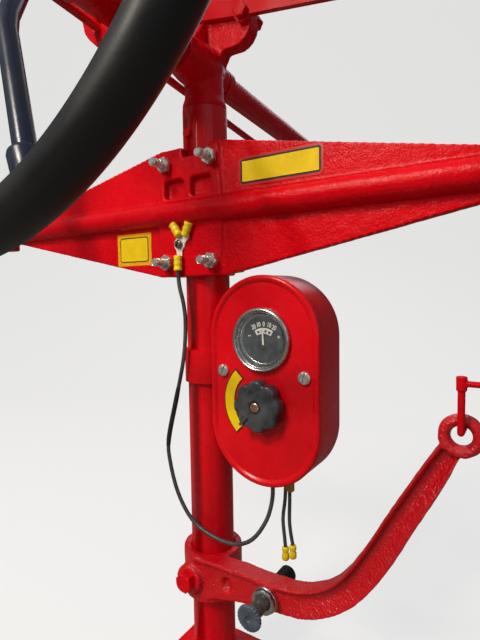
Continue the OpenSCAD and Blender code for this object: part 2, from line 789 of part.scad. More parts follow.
// One sweep of a round section of diameter d along a line of points that turns gently.
module lead(points, d, sides = 8) {
  n = len(points);
  rings = [for (i = [0 : n - 1])
    let (a = points[max(i - 1, 0)], b = points[min(i + 1, n - 1)], t = unit(b - a),
      s = unit(cross(t, [0.13, 1, 0.21])), u = cross(s, t))
    for (k = [0 : sides - 1]) points[i] + d / 2 * (cos(k * 360 / sides) * s
      + sin(k * 360 / sides) * u)];
  polyhedron(rings, concat(
    [[for (k = [0 : sides - 1]) k]],
    [for (i = [0 : n - 2], k = [0 : sides - 1]) let (m = (k + 1) % sides)
      [i * sides + k, (i + 1) * sides + k, (i + 1) * sides + m, i * sides + m]],
    [[for (k = [sides - 1 : -1 : 0]) (n - 1) * sides + k]]));
}

function unit(v) = v / norm(v);

// A smooth line through the points p, with steps points on each span.
function smooth(p, steps) = [for (i = [0 : len(p) - 2], s = [0 : steps - 1])
  spline(p[max(i - 1, 0)], p[i], p[i + 1], p[min(i + 2, len(p) - 1)], s / steps), p[len(p) - 1]];
function spline(a, b, c, d, t) = (2 * b + (c - a) * t + (2 * a - 5 * b + 4 * c - d) * t * t
  + (3 * b - a - 3 * c + d) * t * t * t) / 2;

module ground_screw() {
  color(STEEL) facing(ground_at[0], ground_at[1], beam_face) {
    cylinder(d = 5, h = 6);
    translate([0, 0, 2]) hex(9, 4);
  }
}

// A ring under the ground screw with one sleeve down and two sleeves up.
module ground_terminal() {
  color(YELLOW) {
    facing(ground_at[0], ground_at[1], beam_face) difference() {
      cylinder(d = ring_d, h = 2);
      translate([0, 0, -1]) cylinder(d = 5, h = 4);
    }
    for (sleeve = terminal_sleeves) translate([ground_at[0], 0, ground_at[1]])
      rotate([0, sleeve[0], 0]) {
        translate([0, -ground_out, sleeve_start])
          cylinder(d = terminal_d, h = sleeve[1] - sleeve_start);
        translate([-2, -beam_face - 4, ring_d / 2 - 1])
          cube([4, 4, sleeve_start - ring_d / 2 + 2]);
      }
  }
}

module ground_lead() {
  color(BLACK) lead(smooth(ground_line, 4), ground_d);
}

module short_leads() {
  color(BLACK) for (p = short_lines) lead(smooth(p, 3), pigtail_d);
}

module lead_terminals() {
  color(YELLOW) for (p = short_lines) translate(p[len(p) - 1] - [0, 0, 14 + seat_gap])
    cylinder(d = 5, h = 14);
}

// Outline of the arm, from the post to the eye, with its upper edge lower by cut.
module arm_outline(cut = 0) {
  line = smooth(arm_line, 6);
  n = len(line);
  up = [for (i = [0 : n - 1]) let (a = line[max(i - 1, 0)], b = line[min(i + 1, n - 1)],
    t = unit([b[0] - a[0], b[1] - a[1]])) [-t[1], t[0]]];
  translate([0, arm_top_z])
    polygon([for (i = [0 : n - 1]) [line[i][0], line[i][1]] + up[i] * (line[i][2] - cut),
      for (i = [n - 1 : -1 : 0]) [line[i][0], line[i][1]] - up[i] * line[i][2]]);
}

// The cast arm: a flat plate under a wide upper flange, a ring round the post and an eye.
module arm_bracket() {
  color(RED) difference() {
    union() {
      slab(arm_face - arm_rise, arm_web) arm_outline();
      slab(arm_face, arm_w) difference() {
        arm_outline();
        arm_outline(flange_t);
      }
      translate([0, 0, arm_ring_z]) cylinder(r = arm_ring_r, h = arm_ring_h);
      facing(arm_bolt_at[0], arm_bolt_at[1], post_r - 2)
        cylinder(r = arm_boss_r, h = arm_face + 4 - post_r);
      facing(eye_x, eye_z, arm_face - arm_w) cylinder(r = eye_r, h = arm_w);
      facing(pull_x, pull_z, plate_back) cylinder(d = pull_nut_d, h = arm_face - plate_back);
    }
    translate([0, 0, arm_ring_z - 1]) cylinder(r = post_r, h = arm_ring_h + 2);
    facing(eye_x, eye_z, arm_face - arm_w - 1) cylinder(r = eye_hole_r, h = arm_w + 2);
  }
}

module arm_bolt() {
  color(RED) facing(arm_bolt_at[0], arm_bolt_at[1], arm_face + 2) hex(18, 8);
}

module pull_body() {
  color(STEEL) facing(pull_x, pull_z, plate_back - 34) cylinder(d = 17, h = 34);
}

module pull_nut() {
  color(CHROME) facing(pull_x, pull_z, arm_face) cylinder(d = pull_nut_d, h = 4);
}

module pull_knob() {
  color(BLACK) {
    facing(pull_x, pull_z, arm_face + 4) cylinder(d = pull_stem_d, h = pull_out - 4 - pull_knob_t);
    facing(pull_x, pull_z, arm_face + pull_out - pull_knob_t)
      cylinder(d = pull_knob_d, h = pull_knob_t);
  }
}

module eye_rod() {
  r = 2.5;
  z = eye_z + eye_hole_r - r - seat_gap;
  color(RED) {
    facing(eye_x + 1, z, arm_face - arm_w - 6) cylinder(r = r, h = arm_w + 12);
    translate([eye_x + 1, -arm_face - 6, z]) {
      sphere(r = r);
      cylinder(r = r, h = 36);
      translate([0, 0, 30]) cylinder(r = 3.6, h = 10);
      translate([0, 0, 35]) rotate([0, 90, 0]) cylinder(r = 2.2, h = 16);
    }
  }
}

// The shaft that turns with the wheel.
module steering_shaft() {
  end = rim_at - hub_dish + hub_h / 2 + 12;
  color(RED) on_shaft(-shaft_front) cylinder(d = shaft_d, h = shaft_front + end);
}

module shaft_collar() {
  color(RED) on_shaft(-sleeve_front - 9) difference() {
    cylinder(d = shaft_d + 6, h = 8);
    translate([0, 0, -1]) cylinder(d = shaft_d, h = 10);
  }
}

module shaft_coupling() {
  color(RED) on_shaft(-shaft_front - coupling_len / 2) difference() {
    cylinder(d = coupling_d, h = coupling_len);
    translate([0, 0, -1]) cylinder(d = coupling_bore_d, h = coupling_len);
    translate([0, 0, coupling_len / 2]) cylinder(d = shaft_d, h = coupling_len);
  }
}

module wheel_rim() {
  color(BLACK) on_shaft(rim_at) rotate_extrude($fn = 128) translate([rim_r, 0])
    circle(d = rim_t, $fn = 32);
}

module wheel_spokes() {
  color(BLACK) on_shaft(rim_at) for (i = [0 : spokes - 1])
    rotate([0, 0, spoke_turn + i * 360 / spokes]) {
      bar_between([hub_r - 6, -hub_dish], [bend_r, -bend_ahead], spoke_d);
      translate([bend_r, 0, -bend_ahead]) sphere(d = spoke_d + 1);
      bar_between([bend_r, -bend_ahead], [rim_r - rim_t / 4, 0], spoke_d);
      bar_between([rim_r - rim_t / 2 - 12, -1], [rim_r - rim_t / 4, 0], spoke_collar_d);
    }
}

// A round bar in the plane of a spoke, between two places: radius and height.
module bar_between(a, b, d) {
  run = b - a;
  translate([a[0], 0, a[1]]) rotate([0, atan2(run[0], run[1]), 0]) cylinder(d = d, h = norm(run));
}

module wheel_hub() {
  color(BLACK) on_shaft(rim_at - hub_dish - hub_h / 2) difference() {
    rotate_extrude() polygon([[0, 0], [hub_r - 6, 0], [hub_r, 6], [hub_r, hub_h - 10],
      [hub_r - 8, hub_h], [0, hub_h]]);
    translate([0, 0, -1]) cylinder(d = shaft_d, h = hub_h + 2);
  }
}

module hub_nut() {
  color(STEEL) on_shaft(rim_at - hub_dish + hub_h / 2) difference() {
    hex(hub_nut_af, 10);
    translate([0, 0, -1]) cylinder(d = shaft_d, h = 12);
  }
}

foot();
post_tube();
head_casting();
head_bar();
head_bar_bolts();
column_tube();
rod_bracket();
throttle_rod();
throttle_lever();
throttle_knob();
head_screw();
cross_beam();
beam_clamp();
beam_studs();
beam_nuts();
box_shell();
box_cover();
box_strap();
strap_bolts();
cover_screws();
gauge_bezel();
gauge_dial();
gauge_needle();
gauge_glass();
switch_legend();
switch_knob();
knob_screw();
lead_grommets();
ground_screw();
ground_terminal();
ground_lead();
short_leads();
lead_terminals();
arm_bracket();
arm_bolt();
pull_body();
pull_nut();
pull_knob();
eye_rod();
steering_shaft();
shaft_collar();
shaft_coupling();
wheel_rim();
wheel_spokes();
wheel_hub();
hub_nut();
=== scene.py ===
"""Dresses a farm tractor's steering post: its castings, gauge, switch, leads and wheel.

Sizes are millimetres in the source's frame: X to the right, Y ahead, Z up, and the origin
under the foot. Finished meshes are scaled to metres.
"""

from __future__ import annotations

import json
import logging
import math
from dataclasses import dataclass
from enum import Enum
from typing import Any, Callable, Iterable, Sequence

import bmesh
import bpy
import numpy as np
from mathutils import Matrix, Vector, noise

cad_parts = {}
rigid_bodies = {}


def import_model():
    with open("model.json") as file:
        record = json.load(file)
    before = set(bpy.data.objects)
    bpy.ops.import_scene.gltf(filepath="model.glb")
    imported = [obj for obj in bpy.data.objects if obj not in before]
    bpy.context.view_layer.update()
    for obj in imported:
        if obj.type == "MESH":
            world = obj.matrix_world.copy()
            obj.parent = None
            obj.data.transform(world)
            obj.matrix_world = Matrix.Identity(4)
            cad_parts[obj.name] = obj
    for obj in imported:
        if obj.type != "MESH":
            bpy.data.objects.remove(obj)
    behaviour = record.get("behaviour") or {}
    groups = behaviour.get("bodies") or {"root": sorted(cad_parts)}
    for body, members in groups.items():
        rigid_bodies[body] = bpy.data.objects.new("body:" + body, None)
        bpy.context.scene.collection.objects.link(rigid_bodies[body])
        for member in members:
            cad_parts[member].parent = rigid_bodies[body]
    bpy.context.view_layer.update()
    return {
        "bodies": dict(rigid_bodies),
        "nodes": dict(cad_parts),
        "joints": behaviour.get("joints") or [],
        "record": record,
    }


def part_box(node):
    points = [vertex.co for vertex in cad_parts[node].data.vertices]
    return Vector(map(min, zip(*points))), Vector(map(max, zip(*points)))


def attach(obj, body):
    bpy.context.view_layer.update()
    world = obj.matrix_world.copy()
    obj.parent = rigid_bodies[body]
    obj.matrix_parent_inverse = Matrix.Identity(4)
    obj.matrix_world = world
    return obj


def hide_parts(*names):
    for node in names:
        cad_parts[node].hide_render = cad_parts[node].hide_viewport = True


log = logging.getLogger("steering_post")
METRE = 0.001
MM_IN_METRE = 1000
PICTURE = (480, 640)
Row = Sequence[float]
Point = tuple[float, float, float]
Shape = bmesh.types.BMesh
Tree = bpy.types.NodeTree
Node = bpy.types.Node
Socket = bpy.types.NodeSocket


class Body(str, Enum):
    """The two bodies of the model."""

    POST = "post"
    STEERING = "steering"


class Slot(str, Enum):
    """The record's material slots."""

    ENAMEL = "red_enamel"
    STEEL = "zinc_steel"
    CHROME = "bright_chrome"
    DIAL = "dial_black"
    MARKS = "dial_white"
    GLASS = "gauge_glass"
    PHENOLIC = "black_phenolic"
    BRASS = "screw_brass"
    YELLOW = "yellow_plastic"
    PVC = "lead_pvc"
    GROMMET = "grommet_rubber"
    RIM = "rim_rubber"
    WHEEL = "wheel_black"


# Places


@dataclass(frozen=True)
class Place:
    """A working frame in mm: where it stands, and its right, up and out directions."""

    origin: Vector
    right: Vector
    up: Vector
    out: Vector

    def matrix(self) -> Matrix:
        """The frame as a matrix from its own coordinates to the model's."""
        turn = Matrix((self.right, self.up, self.out)).transposed().to_4x4()
        return Matrix.Translation(self.origin) @ turn

    def moved(self, right: float = 0.0, up: float = 0.0, out: float = 0.0) -> Place:
        """The same frame, moved along its own directions."""
        step = self.right * right + self.up * up + self.out * out
        return Place(self.origin + step, self.right, self.up, self.out)

    def turned(self, degrees: float) -> Place:
        """Turns the frame about its out direction.

        Args:
            degrees: how far, anticlockwise as seen from the front.

        Returns:
            The turned frame.
        """
        a = math.radians(degrees)
        right = self.right * math.cos(a) + self.up * math.sin(a)
        return Place(self.origin, right, self.out.cross(right), self.out)


def facing(x: float, z: float, out: float) -> Place:
    """A frame that looks towards the driver, on the plane y = -out."""
    return Place(Vector((x, -out, z)), Vector((1, 0, 0)), Vector((0, 0, 1)), Vector((0, -1, 0)))


UPRIGHT = Place(Vector((0, 0, 0)), Vector((1, 0, 0)), Vector((0, 1, 0)), Vector((0, 0, 1)))


@dataclass(frozen=True)
class ShaftLine:
    """The steering shaft's own line, which rises towards the driver."""

    height: float = 650.0
    rise: float = 4.6
    radius: float = 12.5

    def place(self, at: float) -> Place:
        """A frame on the line.

        Args:
            at: distance from y = 0 along the line.

        Returns:
            The frame, with out along the line.
        """
        a = math.radians(90 - self.rise)
        out = Vector((0, -math.sin(a), math.cos(a)))
        up = Vector((0, math.cos(a), math.sin(a)))
        return Place(Vector((0, 0, self.height)) + out * at, Vector((1, 0, 0)), up, out)


SHAFT = ShaftLine()


# Shapes


def spin(degrees: float, axis: str = "Z") -> Matrix:
    """A turn about one axis."""
    return Matrix.Rotation(math.radians(degrees), 4, axis)


def shift(x: float, y: float, z: float) -> Matrix:
    """A move."""
    return Matrix.Translation((x, y, z))


def stand(name: str, data: bpy.types.ID) -> bpy.types.Object:
    """Puts an object into the scene.

    Args:
        name: the object's name.
        data: its mesh, text, lens or light.

    Returns:
        The object.
    """
    thing = bpy.data.objects.new(name, data)
    bpy.context.scene.collection.objects.link(thing)
    return thing


def settled(carrier: bpy.types.Object) -> bpy.types.Mesh:
    """Applies what shapes a carrier object, and removes the carrier.

    Args:
        carrier: an object in the scene with modifiers or text.

    Returns:
        Its finished shape as a plain mesh.
    """
    graph = bpy.context.evaluated_depsgraph_get()
    mesh = bpy.data.meshes.new_from_object(carrier.evaluated_get(graph))
    bpy.data.objects.remove(carrier)
    return mesh


def taken(mesh: bpy.types.Mesh) -> Shape:
    """Takes the shape out of a mesh, and removes the mesh.

    Args:
        mesh: the mesh to read.

    Returns:
        The shape.
    """
    shape = bmesh.new()
    shape.from_mesh(mesh)
    bpy.data.meshes.remove(mesh)
    return shape


def written(shape: Shape, name: str) -> bpy.types.Mesh:
    """Writes a shape into a new mesh, and frees the shape.

    Args:
        shape: the shape to write.
        name: the new mesh's name.

    Returns:
        The mesh.
    """
    mesh = bpy.data.meshes.new(name)
    shape.to_mesh(mesh)
    shape.free()
    return mesh


def join(shapes: Iterable[Shape]) -> Shape:
    """Puts several shapes into one.

    Args:
        shapes: the shapes, which are freed.

    Returns:
        The whole.
    """
    whole = bmesh.new()
    for shape in shapes:
        part = written(shape, "part")
        whole.from_mesh(part)
        bpy.data.meshes.remove(part)
    return whole


def loft(rings: Sequence[Sequence[Row]], loop: bool = False) -> Shape:
    """Joins rings of points into a skin, with its first and last rings filled.

    Args:
        rings: rows of points. A ring of one point closes the skin there.
        loop: whether the last ring joins the first, so that no ring is filled.

    Returns:
        The skin, with its faces pointing outwards.
    """
    shape = bmesh.new()
    made = [[shape.verts.new(p) for p in ring] for ring in rings]
    pairs = list(zip(made, made[1:])) + ([(made[-1], made[0])] if loop else [])
    for a, b in pairs:
        count = max(len(a), len(b))
        for k in range(count):
            m = (k + 1) % count
            corners = [a[k % len(a)], a[m % len(a)], b[m % len(b)], b[k % len(b)]]
            corners = list(dict.fromkeys(corners))
            if len(corners) > 2:
                shape.faces.new(corners)
    if not loop:
        for ring in (made[0], made[-1]):
            if len(ring) > 2:
                shape.faces.new(ring)
    bmesh.ops.recalc_face_normals(shape, faces=shape.faces)
    return shape


def turns(sides: int) -> list[float]:
    """Equal angles round a whole turn, in radians."""
    return [2 * math.pi * k / sides for k in range(sides)]


def circle(radius: float, height: float, sides: int) -> list[Point]:
    """Makes one ring of points round the out direction.

    Args:
        radius: the ring's radius, or nothing for a single point.
        height: its place along out.
        sides: how many points it has.

    Returns:
        The points.
    """
    if not radius:
        return [(0.0, 0.0, height)]
    return [(radius * math.cos(a), radius * math.sin(a), height) for a in turns(sides)]


def lathe(profile: Sequence[Row], sides: int = 64, loop: bool = False) -> Shape:
    """Turns a profile of radius and height rows about the out direction."""
    return loft([circle(r, h, sides) for r, h in profile], loop)


def prism(outline: Sequence[Row], low: float, high: float, edge: float = 0.0) -> Shape:
    """Gives an outline a thickness, with its upper edge eased.

    Args:
        outline: points in the frame's right and up directions.
        low: where it starts along out.
        high: where it ends along out.
        edge: width of the eased upper edge.

    Returns:
        The solid.
    """
    rings = [[(x, y, low) for x, y in outline], [(x, y, high - edge) for x, y in outline]]
    if edge:
        middle = Vector(np.mean(np.array(outline, float), axis=0))
        inner = [Vector(p) - (Vector(p) - middle).normalized() * edge for p in outline]
        rings.append([(p.x, p.y, high) for p in inner])
    return loft(rings)


def rounded_box(width: float, height: float, radius: float, steps: int = 6) -> list[tuple[float, float]]:
    """Outline of a rectangle with round corners, about its middle.

    Args:
        width: its size along the right direction.
        height: its size along the up direction.
        radius: radius of its corners.
        steps: straight steps in each corner.

    Returns:
        The outline's points, anticlockwise.
    """
    points = []
    for sx, sy, start in ((1, 1, 0), (-1, 1, 90), (-1, -1, 180), (1, -1, 270)):
        for k in range(steps + 1):
            a = math.radians(start + 90 * k / steps)
            points.append((sx * (width / 2 - radius) + radius * math.cos(a),
                           sy * (height / 2 - radius) + radius * math.sin(a)))
    return points


def arc_band(low: float, high: float, start: float, end: float, level: float, steps: int) -> Shape:
    """A thin flat arc.

    Args:
        low: its inner radius.
        high: its outer radius.
        start: the angle where it starts, clockwise from upright in degrees.
        end: the angle where it ends.
        level: its thickness.
        steps: straight steps along it.

    Returns:
        The solid.
    """
    angles = [math.radians(90 - (start + (end - start) * k / steps)) for k in range(steps + 1)]
    section = ((low, 0.0), (high, 0.0), (high, level), (low, level))
    return loft([[(r * math.cos(a), r * math.sin(a), h) for r, h in section] for a in angles])


def spline(a: Vector, b: Vector, c: Vector, d: Vector, t: float) -> Vector:
    """A point on the smooth span from b to c, as the source draws it."""
    return (2 * b + (c - a) * t + (2 * a - 5 * b + 4 * c - d) * t * t
            + (3 * b - a - 3 * c + d) * t * t * t) / 2


def smooth_line(points: Sequence[Row], steps: int) -> list[Vector]:
    """A smooth line through some points.

    Args:
        points: the points it goes through.
        steps: how many steps each span has.

    Returns:
        The line's points, with the last one.
    """
    p = [Vector(q) for q in points]
    last = len(p) - 1
    line = [spline(p[max(i - 1, 0)], p[i], p[i + 1], p[min(i + 2, last)], s / steps)
            for i in range(last) for s in range(steps)]
    return line + [p[last]]


def ramp(value: np.ndarray, low: float, high: Any) -> np.ndarray:
    """Changes evenly from 0 where a value is low to 1 where it is high, and is level beyond."""
    return np.clip((value - low) / (high - low), 0, 1)


def tube(points: Sequence[Vector], radii: Sequence[float], sides: int = 20) -> Shape:
    """Sweeps a round section of changing radius along a line.

    Args:
        points: the line's points.
        radii: the section's radius at each point.
        sides: how many sides the section has.

    Returns:
        The solid.
    """
    rings = []
    side = None
    for i, p in enumerate(points):
        ahead = (points[min(i + 1, len(points) - 1)] - points[max(i - 1, 0)]).normalized()
        side = (side - ahead * side.dot(ahead) if side else ahead.orthogonal()).normalized()
        over = ahead.cross(side)
        rings.append([p + radii[i] * (math.cos(a) * side + math.sin(a) * over) for a in turns(sides)])
    return loft(rings)


def hex_nut(across: float, height: float, bore: float = 0.0, back_edge: bool = True) -> Shape:
    """A hexagon with its corners chamfered, as a nut with a bore or as a bolt's head.

    Args:
        across: width across the flats.
        height: its thickness.
        bore: radius of the hole, or nothing for a head.
        back_edge: whether the back's corners are chamfered too.

    Returns:
        The solid, standing on its back face.
    """
    half, sides, bore_edge = across / 2, 48, 0.7
    corner = half * 1.155
    rows = [(half * 0.97, 0.0), (corner, 0.09 * height if back_edge else 0.0), (corner, 0.86 * height),
            (half * 0.95, height)]
    rings = []
    for radius, level in rows:
        ring = []
        for a in turns(sides):
            flat = half / math.cos((a + math.pi / 6) % (math.pi / 3) - math.pi / 6)
            ring.append((min(flat, radius) * math.cos(a), min(flat, radius) * math.sin(a), level))
        rings.append(ring)
    if not bore:
        return loft(rings + [circle(0, height, sides)])
    rings += [circle(bore + bore_edge, height, sides), circle(bore, height - 0.8, sides),
              circle(bore, 0.3, sides)]
    return loft(rings, loop=True)


def slotted_head(diameter: float, height: float, slot: float, depth: float) -> Shape:
    """A domed round screw head with a straight slot across it.

    Args:
        diameter: the head's width.
        height: its height in the middle.
        slot: the slot's width.
        depth: the slot's depth.

    Returns:
        The head, as a disc that carries two halves of a dome.
    """
    radius, foot, sides, steps = diameter / 2, height - depth, 48, 24
    dome = ((1.0, -0.05), (0.98, 0.35), (0.88, 0.72), (0.64, 1.0))
    parts = [lathe([(0, 0), (radius, 0), (radius, foot), (0, foot)], sides)]
    for side in (1, -1):
        rings = []
        for share, rise in dome:
            reach = share * radius
            start = math.asin(slot / 2 / reach)
            angles = [start + (math.pi - 2 * start) * k / steps for k in range(steps + 1)][::side]
            rings.append([(reach * math.cos(a), side * reach * math.sin(a), foot + rise * depth)
                          for a in angles])
        parts.append(loft(rings))
    return join(parts)


# Geometry Nodes


def fill(tree: Tree, node: Node, inputs: dict[Any, Any]) -> None:
    """Fills or links a node's inputs.

    Args:
        tree: the tree that the node is in.
        node: the node.
        inputs: values or output sockets, by input name or number.
    """
    for name, value in inputs.items():
        if isinstance(value, bpy.types.NodeSocket):
            tree.links.new(value, node.inputs[name])
        else:
            node.inputs[name].default_value = value


def add_node(tree: Tree, kind: str, settings: dict[str, Any] | None = None,
             inputs: dict[Any, Any] | None = None) -> Node:
    """Adds a node, sets its properties, and fills or links its inputs.

    Args:
        tree: where the node goes.
        kind: the node's type.
        settings: its properties by name.
        inputs: values or output sockets, by input name or number.

    Returns:
        The new node.
    """
    node = tree.nodes.new(kind)
    for name, value in (settings or {}).items():
        setattr(node, name, value)
    fill(tree, node, inputs or {})
    return node


def new_tree(name: str, inputs: Sequence[tuple[str, str]]) -> tuple[Tree, Node]:
    """Starts a Geometry Nodes tree with one geometry input and one geometry output.

    Args:
        name: the tree's name.
        inputs: the label and the kind of each further input.

    Returns:
        The tree and its input node.
    """
    tree = bpy.data.node_groups.new(name, "GeometryNodeTree")
    tree.interface.new_socket("Geometry", in_out="INPUT", socket_type="NodeSocketGeometry")
    for label, kind in inputs:
        tree.interface.new_socket(label, in_out="INPUT", socket_type="NodeSocket" + kind)
    tree.interface.new_socket("Geometry", in_out="OUTPUT", socket_type="NodeSocketGeometry")
    return tree, add_node(tree, "NodeGroupInput")


def end_tree(tree: Tree, given: Node, shape: Socket) -> None:
    """Ends a tree in Realize Instances and Set Material.

    Args:
        tree: the tree.
        given: its input node, with the material.
        shape: what it has made.
    """
    real = add_node(tree, "GeometryNodeRealizeInstances", inputs={"Geometry": shape})
    dressed = add_node(tree, "GeometryNodeSetMaterial",
                       inputs={"Geometry": real.outputs[0], "Material": given.outputs["Material"]})
    add_node(tree, "NodeGroupOutput", inputs={0: dressed.outputs[0]})


def end_with_copies(tree: Tree, given: Node, points: Socket, angle: Node) -> None:
    """Ends a tree in copies of a piece.

    Args:
        tree: the tree.
        given: its input node, with the piece and its material.
        points: where the copies stand.
        angle: the node that works out each copy's turn.
    """
    turn = add_node(tree, "ShaderNodeCombineXYZ", inputs={2: angle.outputs[0]})
    piece = add_node(tree, "GeometryNodeObjectInfo", inputs={"Object": given.outputs["Piece"]})
    copies = add_node(tree, "GeometryNodeInstanceOnPoints", inputs={
        "Points": points, "Instance": piece.outputs["Geometry"], "Rotation": turn.outputs[0]})
    end_tree(tree, given, copies.outputs[0])


def ring_tree() -> Tree:
    """Makes the tree that sets a piece at equal steps round a circle.

    Returns:
        The tree.
    """
    tree, given = new_tree("pieces_on_a_circle", [
        ("Piece", "Object"), ("Count", "Int"), ("Radius", "Float"), ("Start", "Float"),
        ("Step", "Float"), ("Material", "Material")])
    points = add_node(tree, "GeometryNodePoints", inputs={"Count": given.outputs["Count"]})
    index = add_node(tree, "GeometryNodeInputIndex")
    angle = add_node(tree, "ShaderNodeMath", {"operation": "MULTIPLY_ADD"},
                     {0: index.outputs[0], 1: given.outputs["Step"], 2: given.outputs["Start"]})
    cos = add_node(tree, "ShaderNodeMath", {"operation": "COSINE"}, {0: angle.outputs[0]})
    sin = add_node(tree, "ShaderNodeMath", {"operation": "SINE"}, {0: angle.outputs[0]})
    along = add_node(tree, "ShaderNodeCombineXYZ", inputs={0: cos.outputs[0], 1: sin.outputs[0]})
    place = add_node(tree, "ShaderNodeVectorMath", {"operation": "SCALE"},
                     {0: along.outputs[0], "Scale": given.outputs["Radius"]})
    moved = add_node(tree, "GeometryNodeSetPosition",
                     inputs={"Geometry": points.outputs[0], "Position": place.outputs[0]})
    end_with_copies(tree, given, moved.outputs[0], angle)
    return tree


def spot_tree() -> Tree:
    """Makes the tree that sets a piece on every point of its mesh, each turned a little more.

    Returns:
        The tree.
    """
    tree, given = new_tree("pieces_on_points", [
        ("Piece", "Object"), ("Turn", "Float"), ("Material", "Material")])
    index = add_node(tree, "GeometryNodeInputIndex")
    angle = add_node(tree, "ShaderNodeMath", {"operation": "MULTIPLY"},
                     {0: index.outputs[0], 1: given.outputs["Turn"]})
    end_with_copies(tree, given, given.outputs["Geometry"], angle)
    return tree


def thread_tree() -> Tree:
    """Makes the tree that winds a screw thread.

    Returns:
        The tree.
    """
    tree, given = new_tree("screw_thread", [
        ("Radius", "Float"), ("Turns", "Float"), ("Length", "Float"), ("Wire", "Float"),
        ("Material", "Material")])
    wind = add_node(tree, "GeometryNodeCurveSpiral", inputs={
        "Resolution": 20, "Rotations": given.outputs["Turns"],
        "Start Radius": given.outputs["Radius"], "End Radius": given.outputs["Radius"],
        "Height": given.outputs["Length"]})
    wire = add_node(tree, "GeometryNodeCurvePrimitiveCircle",
                    inputs={"Resolution": 4, "Radius": given.outputs["Wire"]})
    skin = add_node(tree, "GeometryNodeCurveToMesh", inputs={
        "Curve": wind.outputs[0], "Profile Curve": wire.outputs[0], "Fill Caps": True})
    end_tree(tree, given, skin.outputs[0])
    return tree


def bar_tree() -> Tree:
    """Makes the tree that bends a round bar along the line of its mesh, each bend in two steps.

    Returns:
        The tree.
    """
    tree, given = new_tree("bent_bar", [
        ("Radius", "Float"), ("Bend", "Float"), ("Material", "Material")])
    line = add_node(tree, "GeometryNodeMeshToCurve", inputs={"Mesh": given.outputs["Geometry"]})
    bent = add_node(tree, "GeometryNodeFilletCurve", {"mode": "POLY"}, {
        "Curve": line.outputs[0], "Radius": given.outputs["Bend"], "Limit Radius": True})
    ring = add_node(tree, "GeometryNodeCurvePrimitiveCircle",
                    inputs={"Resolution": 24, "Radius": given.outputs["Radius"]})
    skin = add_node(tree, "GeometryNodeCurveToMesh", inputs={
        "Curve": bent.outputs[0], "Profile Curve": ring.outputs[0], "Fill Caps": True})
    smooth = add_node(tree, "GeometryNodeSetShadeSmooth", inputs={0: skin.outputs[0]})
    end_tree(tree, given, smooth.outputs[0])
    return tree


def grow(tree: Tree, values: dict[str, Any], base: bpy.types.Mesh | None = None) -> Shape:
    """Runs a Geometry Nodes tree and gives its result as a plain shape.

    Args:
        tree: the tree to run.
        values: its inputs by name.
        base: the mesh it starts from.

    Returns:
        The finished shape, in the units of the inputs.
    """
    carrier = stand("carrier", base or bpy.data.meshes.new("carrier"))
    modifier = carrier.modifiers.new("grow", "NODES")
    modifier.node_group = tree
    for item in tree.interface.items_tree:
        if item.item_type == "SOCKET" and item.in_out == "INPUT" and item.name in values:
            modifier[item.identifier] = values[item.name]
    return taken(settled(carrier))


def line_mesh(points: Iterable[Row], linked: bool = False) -> bpy.types.Mesh:
    """A mesh of points for a tree to work on.

    Args:
        points: where they are.
        linked: whether each point is joined to the next by an edge.

    Returns:
        The mesh.
    """
    mesh = bpy.data.meshes.new("line")
    rows = [tuple(p) for p in points]
    mesh.from_pydata(rows, [(k, k + 1) for k in range(len(rows) - 1)] if linked else [], [])
    return mesh


# Finishes


def linear(code: str) -> tuple[float, float, float, float]:
    """Turns an sRGB hex colour into linear values for a shader."""
    parts = [int(code[i:i + 2], 16) / 255 for i in (1, 3, 5)]
    return (*((c / 12.92 if c <= 0.04045 else ((c + 0.055) / 1.055) ** 2.4) for c in parts), 1.0)


@dataclass(frozen=True)
class Grain:
    """Noise whose features are so many millimetres across."""

    mm: float
    detail: float = 2.0
    rough: float = 0.5

    def inputs(self, where: Socket) -> dict[str, Any]:
        """The noise node's inputs, for coordinates in metres."""
        return {"Vector": where, "Scale": MM_IN_METRE / self.mm, "Detail": self.detail,
                "Roughness": self.rough}


def span(value: Socket, low: float, high: float, least: float = 0.0, most: float = 1.0) -> dict[str, Any]:
    """The inputs of a node that stretches the part of a value from low to high to least and most."""
    return {"Value": value, "From Min": low, "From Max": high, "To Min": least, "To Max": most}


